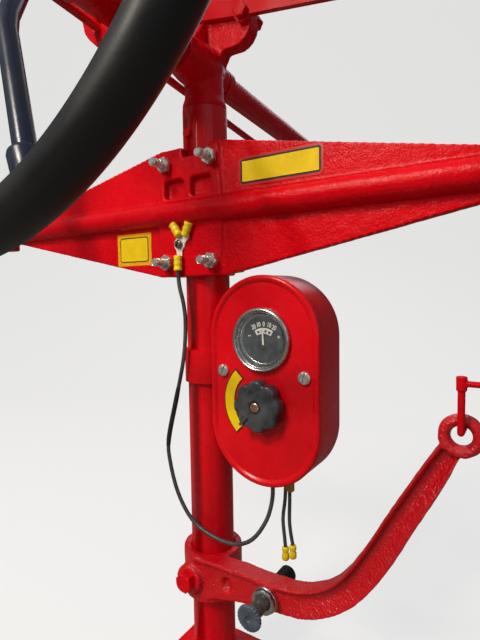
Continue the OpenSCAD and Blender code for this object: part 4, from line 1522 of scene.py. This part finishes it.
@dataclass
class InstrumentBox:
    """The round-ended box: a pressed cover with a rolled border, on a plain shell."""

    x: float = 82.0
    z: float = 345.5
    width: float = 112.5
    height: float = 193.5
    face: float = 31.0
    back: float = 18.0
    sheet: float = 3.6
    border: float = 9.0
    screw_x: float = 42.0
    screw_up: float = 7.5
    gauge_up: float = 38.5
    gauge_r: float = 24.4

    def ring(self, inset: float, out: float, sides: int = 72) -> list[Point]:
        """Makes one turn of the box's outline.

        Args:
            inset: how much smaller it is all round.
            out: its distance out.
            sides: straight steps in each round end.

        Returns:
            The outline's points.
        """
        radius = self.width / 2 - inset
        up = (self.height - self.width) / 2
        points = []
        for start, centre in ((0.0, up), (180.0, -up)):
            for k in range(sides + 1):
                a = math.radians(start + 180 * k / sides)
                points.append((radius * math.cos(a), centre + radius * math.sin(a), out))
            side = math.copysign(radius, -centre)
            points += [(side, centre * (1 - k / 8), out) for k in range(1, 16)]
        return points

    def gauge_ring(self, out: float) -> list[Point]:
        """Makes the gauge's hole in the cover.

        Args:
            out: its distance out.

        Returns:
            One point for each point of the outline.
        """
        middle = Vector((0, self.gauge_up))
        spokes = [(Vector(p[:2]) - middle).normalized() for p in self.ring(self.border, 0)]
        return [(middle.x + self.gauge_r * s.x, middle.y + self.gauge_r * s.y, out) for s in spokes]

    def build(self, bench: Bench) -> None:
        """Makes the cover, the shell and the two cover screws.

        Args:
            bench: what makes the pieces.
        """
        place = facing(self.x, self.z, 0)
        f, b = self.face, -self.back
        cover = [(1.2, f - 3.8), (0.25, f - 3.5), (0.0, f - 2.8), (0.0, f - 0.4), (0.3, f + 0.6),
                 (1.1, f + 1.5), (2.3, f + 1.95), (3.6, f + 1.9), (4.8, f + 1.4), (5.7, f + 0.6), (6.3, f),
                 (7.0, f - 0.25), (7.8, f - 0.15), (self.border, f)]
        rings = [self.ring(i, o) for i, o in cover] + [self.gauge_ring(f), self.gauge_ring(f - self.sheet)]
        bench.piece("box_cover_pressing", loft(rings), Finish.STEEL_ENAMEL, Slot.ENAMEL, place,
                    replaces=["box_cover"], sharp=50)
        outside = [(0.9, f - 3.6), (0.2, f - 4.1), (0.2, b + 5.0), (0.8, b + 2.4), (2.4, b + 0.6),
                   (5.0, b), (40.0, b)]
        bench.piece("box_shell_drawing", loft([self.ring(i, o) for i, o in outside]), Finish.SHADE_ENAMEL,
                    Slot.ENAMEL, place, replaces=["box_shell"], sharp=50)
        heads = []
        for side, turn in ((-1, 65), (1, 78)):
            head = slotted_head(11.5, 3.0, 1.9, 1.7)
            spot = facing(self.x + side * self.screw_x, self.z + self.screw_up, f).turned(turn)
            head.transform(spot.matrix())
            heads.append(head)
        bench.piece("cover_screw_heads", heads, Finish.ZINC, Slot.STEEL, replaces=["cover_screws"])


@dataclass
class Gauge:
    """The round charge gauge: bezel, sunk rings, dial, print, needle and glass."""

    x: float = 82.0
    z: float = 384.0
    face: float = 31.0
    outer: float = 29.35
    clear: float = 24.0
    painted_crevice_shade: float = 2.9
    pivot_drop: float = 8.0
    needle: float = 15.4
    needle_angle: float = 3.6
    step: float = 15.5
    number_size: float = 6.0
    number_r: float = 20.6
    number_width: float = 0.74
    ink: float = 0.12
    sign_x: float = 15.2
    sign_up: float = 9.6
    sign_size: tuple[float, float] = (2.9, 0.9)

    def number(self, word: str, angle: float) -> Shape:
        """Makes one printed number of the dial.

        Args:
            word: the number.
            angle: where it stands, in degrees clockwise from upright.

        Returns:
            A thin raised shape.
        """
        curve = bpy.data.curves.new("number", "FONT")
        curve.body, curve.size = word, self.number_size
        curve.extrude, curve.offset = self.ink / 2, 0.02 * self.number_size
        curve.align_x, curve.align_y = "CENTER", "CENTER"
        shape = taken(settled(stand("number", curve)))
        bmesh.ops.remove_doubles(shape, verts=shape.verts, dist=0.001)
        bmesh.ops.recalc_face_normals(shape, faces=shape.faces)
        a = math.radians(90 - angle)
        shape.transform(shift(self.number_r * math.cos(a), self.number_r * math.sin(a), 0)
                        @ spin(-angle * 0.6) @ Matrix.Scale(self.number_width, 4, (1, 0, 0)))
        return shape

    def sign_bar(self, x: float, upright: bool = False) -> Shape:
        """Makes one bar of the dial's minus or plus.

        Args:
            x: its middle along the right direction.
            upright: whether it is the plus's upright bar.

        Returns:
            The bar.
        """
        size = self.sign_size[::-1] if upright else self.sign_size
        bar = prism(rounded_box(*size, 0.3, 2), 0, self.ink)
        bar.transform(shift(x, self.sign_up, 0))
        return bar

    def print_dial(self, bench: Bench, pivot: Place) -> None:
        """Prints the dial: numbers, two arcs, a row of blocks, and a minus and a plus.

        Args:
            bench: what makes the pieces.
            pivot: the frame at the needle's pivot, on the dial.
        """
        rows = zip(("20", "10", "0", "10", "20"), range(-2, 3))
        marks = [self.number(word, k * self.step) for word, k in rows]
        marks += [arc_band(low, high, -34, 34, self.ink, 24) for low, high in ((15.5, 17.2), (12.2, 13.1))]
        block = lathe([(0, 0), (1, 0), (1, self.ink), (0, self.ink)], 4)
        block.transform(Matrix.Scale(1.6, 4, (1, 0, 0)) @ Matrix.Scale(1.1, 4, (0, 1, 0)) @ spin(45))
        marks.append(grow(bench.ring, {
            "Piece": bench.template(block), "Count": 5, "Radius": 14.3,
            "Start": math.radians(90 - 2 * self.step), "Step": math.radians(self.step),
            "Material": bench.material(Finish.MARK)}))
        marks += [self.sign_bar(-self.sign_x), self.sign_bar(self.sign_x), self.sign_bar(self.sign_x, True)]
        bench.piece("gauge_dial_print", marks, Finish.MARK, Slot.MARKS, pivot, sharp=20)

    def build(self, bench: Bench) -> None:
        """Makes the gauge from its bezel inwards.

        Args:
            bench: what makes the pieces.
        """
        place = facing(self.x, self.z, self.face)
        c, o, s = self.clear, self.outer, self.painted_crevice_shade
        bezel = [(c + 1.9, 0.0), (o - 0.4, 0.0), (o, 0.6), (o, 2.6), (o - 0.4, 3.9), (o - 1.2, 4.7),
                 (o - 2.0, 5.0), (o - 2.8, 4.7), (o - 3.4, 3.9), (c + 1.9, 3.2), (c + 1.7, 2.6),
                 (c + 1.9, 2.2)]
        bench.piece("gauge_bezel_ring", lathe(bezel, 128, loop=True), Finish.CHROME, Slot.CHROME, place,
                    replaces=["gauge_bezel"], sharp=40)
        cup = [(c + 1.8, 0.3), (c + 1.8, 3.0), (c + 1.2, 3.1), (c + 0.5, 2.6), (c - 0.1, 1.2),
               (c - 1.5, -2.2), (c - 1.9, 0.4 - s), (c - 1.9, -s), (c + 0.1, -s), (c + 0.2, 0.2)]
        bench.piece("gauge_inner_ring", lathe(cup, 128, loop=True), Finish.DARK_STEEL, Slot.STEEL, place)
        bead = [(c - 1.9 + x, 0.4 - s + up) for x, up, _ in circle(0.45, 0, 8)]
        bench.piece("gauge_ring_bead", lathe(bead, 128, loop=True), Finish.CHROME, Slot.CHROME, place)
        dial = [(0, -s - 0.5), (c, -s - 0.5), (c, 1.0), (c - 0.5, 1.0), (c - 0.7, -s), (0, -s)]
        bench.piece("gauge_dial_plate", lathe(dial, 96), Finish.DIAL, Slot.DIAL, place,
                    replaces=["gauge_dial"])
        pivot = place.moved(right=0.6, up=1.2 - self.pivot_drop, out=-s)
        self.print_dial(bench, pivot)
        hand = [(-0.9, -1.5), (0.9, -1.5), (0.9, 0), (0.6, self.needle), (-0.6, self.needle), (-0.9, 0)]
        bench.piece("gauge_hand", prism(hand, 1.0, 1.35), Finish.MARK, Slot.MARKS,
                    pivot.turned(self.needle_angle), replaces=["gauge_needle"])
        cap = lathe([(0, 0), (1.9, 0), (1.9, 1.4), (1.5, 1.8), (0, 1.9)], 32)
        foot = prism([(-4.5, -2.2), (4.5, -2.2), (3.2, 0.4), (-3.2, 0.4)], 0, 0.7)
        bench.piece("gauge_hand_pivot", [cap, foot], Finish.SLEEVE, Slot.DIAL, pivot)
        dome = [(0, 4.3), (8, 4.22), (16, 3.95), (c - 0.4, 3.5), (c - 0.4, 3.2), (16, 3.65), (8, 3.92),
                (0, 4.0)]
        bench.piece("gauge_window", lathe(dome, 96), Finish.GLASS, Slot.GLASS, place,
                    replaces=["gauge_glass"])


@dataclass
class RotarySwitch:
    """The scalloped knob with its pointer and brass screw, over a blank yellow arc."""

    x: float = 82.0
    z: float = 325.0
    face: float = 31.0
    radius: float = 23.5
    height: float = 14.0
    scallops: int = 8
    scallop: float = 2.7
    pointer_angle: float = 228.0
    sides: int = 192
    arc: tuple[float, float] = (29.6, 40.6)
    arc_angles: tuple[float, float] = (224.2, 315.8)
    line: float = 0.9

    def knob_ring(self, inset: float, level: float, share: float) -> list[Point]:
        """Makes one ring of the knob.

        Args:
            inset: how much smaller it is all round.
            level: its height.
            share: its scallops' share of the full depth.

        Returns:
            The ring's points.
        """
        crest = math.radians(self.pointer_angle + 180 / self.scallops)
        points = []
        for a in turns(self.sides):
            wave = 0.5 + 0.5 * math.cos(self.scallops * (a - crest))
            r = self.radius - inset - share * self.scallop * wave ** 2
            points.append((r * math.cos(a), r * math.sin(a), level))
        return points

    def build(self, bench: Bench) -> None:
        """Makes the knob, its pointer, its screw and the arc behind it.

        Args:
            bench: what makes the pieces.
        """
        place = facing(self.x, self.z, self.face)
        h, seat = self.height, self.height - 1.1
        rows = [(3.5, 1.0, 1.0), (0.6, 1.0, 1.0), (0.0, 1.8, 1.0), (0.0, h - 3.4, 1.0), (0.2, h - 2.3, 1.0),
                (0.8, h - 1.5, 0.97), (1.8, h - 1.0, 0.9), (3.6, h - 0.7, 0.7), (7.0, h - 0.4, 0.3),
                (12.0, h, 0.0)]
        rings = [self.knob_ring(*row) for row in rows]
        rings += [circle(r, level, self.sides)
                  for r, level in ((6.2, h + 0.3), (5.6, h + 0.1), (5.2, seat), (0, seat))]
        pointer = prism([(11.4, -1.7), (23.6, -1.2), (23.6, 1.2), (11.4, 1.7)], h - 2.5, h + 1.2, 0.4)
        pointer.transform(spin(self.pointer_angle))
        neck = lathe([(0, 0), (6, 0), (6, 1.6), (0, 1.6)], 32)
        bench.piece("switch_knob_moulding", [loft(rings), pointer, neck], Finish.PHENOLIC, Slot.PHENOLIC,
                    place, replaces=["switch_knob"], sharp=38)
        bench.piece("knob_screw_head", slotted_head(9.2, 2.6, 1.5, 1.3), Finish.BRASS, Slot.BRASS,
                    place.moved(out=seat).turned(-4), replaces=["knob_screw"])
        (low, high), (start, end) = self.arc, self.arc_angles
        bench.piece("switch_arc_border", arc_band(low, high + self.line, start - 2, end + 2, 0.35, 48),
                    Finish.INK, Slot.YELLOW, place, replaces=["switch_legend"], sharp=20)
        bench.piece("switch_arc_field", arc_band(low + self.line, high, start, end, 0.45, 48),
                    Finish.SIGN, Slot.YELLOW, place, sharp=20)


@dataclass
class Signs:
    """The two blank vinyl signs on the beam."""

    face: float = 28.0
    lift: float = 0.35
    tow: tuple[float, ...] = (99.5, 535.5, 78.0, 21.5, 2.4)
    gear: tuple[float, ...] = (-77.0, 473.4, 50.0, 34.0, 0.9)
    gear_print: tuple[float, ...] = (-77.0, 473.4, 42.0, 26.5, 3.6)

    def layer(self, bench: Bench, name: str, box: Row, inset: float, level: float, finish: Finish) -> None:
        """Makes one printed layer of a sign.

        Args:
            bench: what makes the pieces.
            name: the layer's name.
            box: its middle in x and z, its width, height and corner radius.
            inset: how much smaller it is all round.
            level: its height over the vinyl's seat.
            finish: its finish.
        """
        x, z, width, height, radius = box
        outline = rounded_box(width - 2 * inset, height - 2 * inset, max(radius - inset, 0.4), 6)
        bench.piece(name, prism(outline, -0.9, level), finish, Slot.YELLOW,
                    facing(x, z, self.face + self.lift), sharp=20)

    def build(self, bench: Bench) -> None:
        """Makes both signs, each a few thin layers.

        Args:
            bench: what makes the pieces.
        """
        self.layer(bench, "tow_sign_film", self.tow, -2.2, 0.05, Finish.FILM)
        self.layer(bench, "tow_sign_border", self.tow, 0.0, 0.12, Finish.INK)
        self.layer(bench, "tow_sign_field", self.tow, 1.7, 0.19, Finish.SIGN)
        self.layer(bench, "gear_plate_margin", self.gear, 0.0, 0.05, Finish.PLATE)
        self.layer(bench, "gear_plate_border", self.gear_print, 0.0, 0.12, Finish.INK)
        self.layer(bench, "gear_plate_field", self.gear_print, 1.1, 0.19, Finish.SIGN)


@dataclass
class GroundPoint:
    """The ground screw on the beam, with a stack of ring terminals in yellow sleeves."""

    x: float = -11.0
    z: float = 475.0
    face: float = 30.0
    sleeve_up: float = 3.6
    sleeve_flat: float = 0.9

    def terminal(self, turn: float, level: float, start: float, reach: float,
                 bend: float) -> tuple[Shape, Shape]:
        """Makes one terminal.

        Args:
            turn: where it points, in degrees anticlockwise from upright.
            level: its ring's height in the stack.
            start: where its sleeve starts, from the screw's line.
            reach: the sleeve's length.
            bend: how far the sleeve is bent away from the neck, in degrees.

        Returns:
            Its tinned ring with a neck, and its yellow sleeve.
        """
        ring = lathe([(2.7, 0), (6.6, 0), (6.6, 0.8), (2.7, 0.8)], 48, loop=True)
        neck = prism([(-3.8, 4.6), (3.8, 4.6), (3.0, start + 2), (-3.0, start + 2)], 0, 0.9)
        tongue = join([ring, neck])
        shares = [(0, 0.0), (3.3, 0.0), (4.1, 0.03), (4.4, 0.16), (4.0, 0.26), (3.95, 0.36), (4.4, 0.48),
                  (4.4, 0.58), (3.95, 0.68), (3.95, 0.76), (4.5, 0.86), (4.5, 0.97), (4.0, 1.0), (0, 1.0)]
        sleeve = lathe([(r, start + share * reach) for r, share in shares], 32)
        sleeve.transform(shift(0, 0, self.sleeve_up) @ spin(-90, "X")
                         @ Matrix.Scale(self.sleeve_flat, 4, (0, 1, 0)))
        sleeve.transform(shift(0, start, 0) @ spin(bend) @ shift(0, -start, 0))
        for part in (tongue, sleeve):
            part.transform(shift(0, 0, level) @ spin(turn))
        return tongue, sleeve

    def build(self, bench: Bench) -> None:
        """Makes the terminals and the screw.

        Args:
            bench: what makes the pieces.
        """
        place = facing(self.x, self.z, self.face)
        rows = ((180, 0.9, 11.0, 15.0, 0), (-51, 0.5, 11.5, 14.2, 27), (-11, 0.1, 8.4, 14.2, 44))
        tongues, sleeves = zip(*(self.terminal(*row) for row in rows))
        bench.piece("ground_ring_tongues", tongues, Finish.TIN, Slot.STEEL, place)
        bench.piece("ground_terminal_sleeves", sleeves, Finish.YELLOW, Slot.YELLOW, place,
                    replaces=["ground_terminal"], sharp=60)
        head = slotted_head(8.2, 2.6, 1.5, 1.3)
        shank = lathe([(0, -3), (2.5, -3), (2.5, 2.9), (0, 2.9)], 24)
        head.transform(shift(0, 0, 2.7) @ spin(70))
        bench.piece("ground_screw_head", [head, shank], Finish.SCREW_STEEL, Slot.STEEL, place,
                    replaces=["ground_screw"])


@dataclass
class Leads:
    """The ground lead and the two short leads under the box, as the source routes them."""

    ground_r: float = 2.0
    short_r: float = 1.75
    gland_z: float = 245.75
    wrap: float = 0.5
    wrap_shares: tuple[float, float] = (0.33, 0.42)

    def ground_points(self) -> list[Vector]:
        """Draws the ground lead's line.

        Returns:
            Its points, from its terminal to its grommet.
        """
        rows = [(-11, -34.5, 449), (-10.5, -33.5, 433.5), (-7, -32, 415.5), (-6, -31, 395.5),
                (-10, -30, 362), (-21, -30, 319), (-33, -30, 274), (-32, -30, 250), (-22, -30, 218),
                (-4, -30, 194), (20, -30, 184), (46, -29, 182), (65, -25, 190), (76, -16, 208),
                (80, -11, 228), (80, -10, self.gland_z)]
        return smooth_line(rows, 4)

    def short_points(self) -> list[list[Vector]]:
        """Draws the short leads' lines.

        Returns:
            Each one's points, from their grommet down.
        """
        rows = [[(88, 2, self.gland_z), (87, 2, 225), (85, 1, 205), (87, 0, 188), (88, 0, 178)],
                [(92, 2, self.gland_z), (92, 2, 225), (92, 1, 205), (94, 0, 192), (96, 0, 182)]]
        return [smooth_line(r, 3) for r in rows]

    def cord(self, bench: Bench, name: str, points: list[Vector], radius: float,
             with_pieces: Sequence[bpy.types.Object], nodes: Sequence[str]) -> None:
        """Args:
            bench: what makes the pieces.
            name: the lead's name.
            points: its middle line.
            radius: its radius.
            with_pieces: the pieces that go with it. Not used.
            nodes: the CAD nodes that it stands for.
        """
        piece = bench.piece(name, tube(points, [radius] * len(points)), Finish.PVC, Slot.PVC,
                            replaces=nodes, sharp=60)

    def sleeve(self, bench: Bench, points: list[Vector]) -> bpy.types.Object:
        """Makes the close sleeve over part of the ground lead.

        Args:
            bench: what makes the pieces.
            points: the lead's middle line.

        Returns:
            The sleeve's piece.
        """
        first, last = (int(share * (len(points) - 1)) for share in self.wrap_shares)
        part = points[first:last + 1]
        radius = self.ground_r + self.wrap
        radii = [0.86 * radius] + [radius] * (len(part) - 2) + [0.86 * radius]
        return bench.piece("ground_lead_sleeve", tube(part, radii), Finish.SLEEVE, Slot.PVC, sharp=60)

    def build(self, bench: Bench) -> None:
        """Makes the leads, the sleeve and the short leads' terminals.

        Args:
            bench: what makes the pieces.
        """
        line = self.ground_points()
        self.cord(bench, "ground_lead_cord", line, self.ground_r,
                  [self.sleeve(bench, line)], ["ground_lead"])
        rows = [(0, 14), (2.6, 14), (3.3, 13.3), (3.5, 10.5), (2.9, 9.4), (2.9, 7.8), (3.5, 6.6), (3.6, 2.2),
                (3.1, 1.2), (1.4, 0.8), (1.4, 0), (0, 0)]
        for word, points in zip(("one", "two"), self.short_points()):
            end = lathe(rows, 24)
            end.transform(Matrix.Translation(points[-1] - Vector((0, 0, 14.3))))
            pieces = [bench.piece("short_lead_terminal_" + word, end, Finish.YELLOW, Slot.YELLOW,
                                  replaces=["lead_terminals"], sharp=60)]
            if word == "two":
                plug = prism(rounded_box(8.4, 6.4, 1.4, 3), -11.5, -1.0, 0.8)
                plug.transform(Matrix.Translation(points[0]))
                pieces.append(bench.piece("short_lead_plug", plug, Finish.OCHRE, Slot.YELLOW, sharp=50))
            self.cord(bench, "short_lead_" + word, points, self.short_r, pieces,
                      ["short_leads"])


@dataclass
class PullSwitch:
    """The pull switch in the arm: a bright ring nut, a turned stem and a ribbed button."""

    x: float = 84.0
    z: float = 142.0
    face: float = 34.0
    nut_r: float = 12.5
    knob_r: float = 12.0
    out: float = 30.0
    ribs: int = 24
    rib_depth: float = 0.55
    rib_drop: float = 0.2

    def rib_ring(self, radius: float, level: float, share: float) -> list[Point]:
        """Makes one ring of the button.

        Args:
            radius: its radius on the ribs' crests.
            level: its height.
            share: its ribs' share of the full depth.

        Returns:
            The ring's points.
        """
        points = []
        for a in turns(self.ribs * 8):
            wave = share * (0.5 + 0.5 * math.cos(self.ribs * a))
            r = radius - self.rib_depth * wave
            points.append((r * math.cos(a), r * math.sin(a), level - self.rib_drop * wave))
        return points

    def build(self, bench: Bench) -> None:
        """Makes the nut, the stem and the button.

        Args:
            bench: what makes the pieces.
        """
        place = facing(self.x, self.z, self.face)
        n, k, o = self.nut_r, self.knob_r, self.out
        nut = [(7.2, 0), (n, 0), (n, 1.5), (n - 0.5, 1.9), (n - 3.4, 2.0), (n - 3.4, 2.9), (n - 1.3, 3.0),
               (n - 0.9, 3.6), (n - 1.2, 5.4), (n - 2.4, 6.1), (8.6, 6.2), (7.2, 5.6)]
        bench.piece("pull_switch_nut", lathe(nut, 64, loop=True), Finish.CHROME, Slot.CHROME, place,
                    replaces=["pull_nut"])
        stem = lathe([(0, 0.5), (7.0, 0.5), (7.0, 7.2), (6.5, 8.0), (6.4, 14), (6.9, 14.6), (6.9, 16.4),
                      (6.4, 17), (6.3, o - 4.4), (7.2, o - 3.4), (0, o - 3.4)], 48)
        bench.piece("pull_switch_stem", stem, Finish.STEM, Slot.PHENOLIC, place, sharp=40)
        rows = [(k - 3.0, o - 4.2, 0.0), (k - 0.4, o - 3.7, 0.7), (k, o - 3.0, 1.0), (k, o - 1.3, 1.0),
                (k - 0.5, o - 0.6, 0.9), (k - 1.4, o - 0.3, 0.8), (k - 5.5, o - 0.2, 0.3)]
        rings = [self.rib_ring(*row) for row in rows]
        rings += [circle(3.0, o, self.ribs * 8), circle(2.0, o - 1.3, self.ribs * 8), [(0, 0, o - 1.6)]]
        bench.piece("pull_switch_button", loft(rings), Finish.BUTTON, Slot.PHENOLIC, place,
                    replaces=["pull_knob"], sharp=40)


@dataclass
class SteeringWheel:
    """The wheel: a hard rubber rim on three bent spokes, with a hub, a nut and collars."""

    rim_at: float = 238.0
    rim_r: float = 212.5
    rim_t: float = 28.0
    spokes: int = 3
    spoke_turn: float = 294.0
    spoke_r: float = 6.0
    bend: float = 40.0
    bend_r: float = 98.0
    bend_ahead: float = 10.0
    hub_dish: float = 44.0
    hub_r: float = 30.0
    hub_h: float = 36.0

    def spoke(self, bench: Bench) -> Shape:
        """Makes one spoke, with the collar that holds it in the rim.

        Args:
            bench: what makes the pieces.

        Returns:
            The spoke's shape, along the right direction.
        """
        rows = [(self.hub_r - 6, 0, -self.hub_dish), (self.bend_r, 0, -self.bend_ahead),
                (self.rim_r - 7, 0, 0)]
        bar = grow(bench.bar, {"Radius": self.spoke_r, "Bend": self.bend,
                               "Material": bench.material(Finish.SPOKE)}, line_mesh(rows, linked=True))
        collar = lathe([(0, -4), (8.5, -4), (8.5, 9.5), (8.0, 11.2), (7.2, 12.0), (0, 12.0)], 40)
        collar.transform(shift(self.rim_r - self.rim_t / 2, 0, -0.6) @ spin(-90, "Y"))
        return join([bar, collar])

    def build(self, bench: Bench) -> None:
        """Makes the rim, the spokes, the hub and its nut.

        Args:
            bench: what makes the pieces.
        """
        place = SHAFT.place(self.rim_at)
        section = [(self.rim_r + x, up) for x, up, _ in circle(self.rim_t / 2, 0, 40)]
        bench.piece("rim_rubber_ring", lathe(section, 256, loop=True), Finish.RIM, Slot.RIM, place,
                    body=Body.STEERING, replaces=["wheel_rim"], sharp=60)
        whole = grow(bench.ring, {
            "Piece": bench.template(self.spoke(bench)), "Count": self.spokes, "Radius": 0.0,
            "Start": math.radians(self.spoke_turn), "Step": 2 * math.pi / self.spokes,
            "Material": bench.material(Finish.SPOKE)})
        bench.piece("spoke_set", whole, Finish.SPOKE, Slot.WHEEL, place, Body.STEERING,
                    ["wheel_spokes"], sharp=50)
        h, r, bore = self.hub_h, self.hub_r, SHAFT.radius
        hub = [(bore, 0), (r - 6, 0), (r - 1.8, 2.0), (r, 6), (r, h - 11), (r - 1.2, h - 7.5),
               (r - 8, h - 1.0), (r - 10, h), (bore, h)]
        bench.piece("wheel_hub_turning", lathe(hub, 96, loop=True), Finish.SPOKE, Slot.WHEEL,
                    place.moved(out=-self.hub_dish - h / 2), Body.STEERING, ["wheel_hub"])
        bench.piece("hub_nut_hexagon", hex_nut(38, 10, bore - 0.1), Finish.ZINC, Slot.STEEL,
                    place.moved(out=-self.hub_dish + h / 2), Body.STEERING, ["hub_nut"])


@dataclass
class Setting:
    """The camera at the photograph's place, the pale studio and its soft lights."""

    place: Point = (290.64, -388.23, 430.0)
    yaw: float = 32.95
    pitch: float = 3.86
    roll: float = -0.88
    focal: float = 462.0
    sensor: float = 36.0
    soft_low: float = 0.08
    soft_high: float = 0.52
    soft: str = "#DDE3EA"
    pale: str = "#F4F3F0"
    half_width: float = 4.5
    under: float = 0.0005

    def camera(self) -> None:
        """Makes the camera, from a focal length in the photograph's pixels."""
        yaw, pitch, roll = (math.radians(a) for a in (self.yaw, self.pitch, self.roll))
        ahead = Vector((-math.sin(yaw) * math.cos(pitch), math.cos(yaw) * math.cos(pitch), -math.sin(pitch)))
        level = Vector((math.cos(yaw), math.sin(yaw), 0))
        above = level.cross(ahead)
        right = math.cos(roll) * level + math.sin(roll) * above
        up = -math.sin(roll) * level + math.cos(roll) * above
        lens = bpy.data.cameras.new("camera")
        lens.sensor_width = self.sensor
        lens.lens = self.focal * self.sensor / max(PICTURE)
        lens.clip_start, lens.clip_end = 0.01, 60.0
        camera = stand("camera", lens)
        turn = Matrix((right, up, -ahead)).transposed().to_4x4()
        camera.matrix_world = Matrix.Translation(Vector(self.place) * METRE) @ turn
        bpy.context.scene.camera = camera

    def lamp(self, name: str, place: Row, aim: Row, size: float, power: float, colour: str) -> None:
        """Adds a soft square lamp.

        Args:
            name: the lamp's name.
            place: where it is, in metres.
            aim: where it points, in metres.
            size: its width in metres.
            power: its power in watts.
            colour: its hex colour.
        """
        light = bpy.data.lights.new(name, "AREA")
        light.shape, light.size, light.energy = "SQUARE", size, power
        light.color = linear(colour)[:3]
        lamp = stand(name, light)
        lamp.location = Vector(place)
        lamp.rotation_mode = "QUATERNION"
        lamp.rotation_quaternion = (Vector(aim) - Vector(place)).to_track_quat("-Z", "Y")

    def world(self) -> None:
        """Makes a soft grey world that the camera sees as pale."""
        world = bpy.data.worlds.new("studio")
        bpy.context.scene.world = world
        world.use_nodes = True
        tree = world.node_tree
        tree.nodes.clear()
        where = add_node(tree, "ShaderNodeTexCoord").outputs[0]
        sky = add_node(tree, "ShaderNodeSeparateXYZ", inputs={0: where})
        level = add_node(tree, "ShaderNodeMapRange",
                         inputs=span(sky.outputs[2], -0.3, 1.0, self.soft_low, self.soft_high))
        soft = add_node(tree, "ShaderNodeBackground",
                        inputs={"Color": linear(self.soft), "Strength": level.outputs[0]})
        pale = add_node(tree, "ShaderNodeBackground", inputs={"Color": linear(self.pale), "Strength": 1.0})
        mixed = add_node(tree, "ShaderNodeMixShader", inputs={
            0: seen_directly(tree), 1: soft.outputs[0], 2: pale.outputs[0]})
        add_node(tree, "ShaderNodeOutputWorld", inputs={0: mixed.outputs[0]})

    def floor(self, bench: Bench) -> None:
        """Makes the paper: a floor that curves up into the wall behind, square to the view.

        Args:
            bench: what makes the materials.
        """
        bend = [math.radians(k * 3) for k in range(31)]
        line = [(y, 0.0) for y in (-3.0, -1.5, 0.0, 0.8)]
        line += [(1.4 + 1.5 * math.sin(a), 1.5 - 1.5 * math.cos(a)) for a in bend]
        line.append((2.9, 3.6))
        turn = spin(self.yaw)
        verts = [turn @ Vector((x, y, z - self.under)) for y, z in line
                 for x in (-self.half_width, self.half_width)]
        faces = [(2 * i, 2 * i + 1, 2 * i + 3, 2 * i + 2) for i in range(len(line) - 1)]
        mesh = bpy.data.meshes.new("studio_floor")
        mesh.from_pydata(verts, [], faces)
        mesh.materials.append(bench.material(Finish.FLOOR))
        mesh.shade_smooth()
        floor = stand("studio_floor", mesh)

    def build(self, bench: Bench) -> None:
        """Makes the floor, the lamps, the world and the view settings.

        Args:
            bench: what makes the materials.
        """
        self.floor(bench)
        self.lamp("key", (-0.36, -1.56, 2.08), (0.05, 0.0, 0.42), 0.42, 44.0, "#FFF6EA")
        self.lamp("sun", (-0.50, -1.86, 1.35), (0.1, 0.0, 0.35), 0.12, 12.0, "#FFF4E4")
        self.lamp("back", (-0.6, 1.9, 1.9), (0.0, 0.0, 0.5), 1.4, 12.0, "#EEF3FF")
        self.lamp("fill", (1.6, -1.3, 0.9), (0.05, 0.0, 0.4), 1.4, 3.0, "#EEF3FF")
        self.world()
        bpy.context.scene.view_settings.view_transform = "Standard"


def main() -> None:
    logging.basicConfig(level=logging.INFO, format="%(message)s")
    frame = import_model()
    setting = Setting()
    setting.camera()
    bench = Bench(frame)
    GroundPoint().build(bench)
    Leads().build(bench)
    Castings().build(bench)
    Arm().build(bench)
    Fasteners().build(bench)
    InstrumentBox().build(bench)
    Gauge().build(bench)
    RotarySwitch().build(bench)
    Signs().build(bench)
    PullSwitch().build(bench)
    SteeringWheel().build(bench)
    setting.build(bench)


if __name__ == "__main__":
    main()
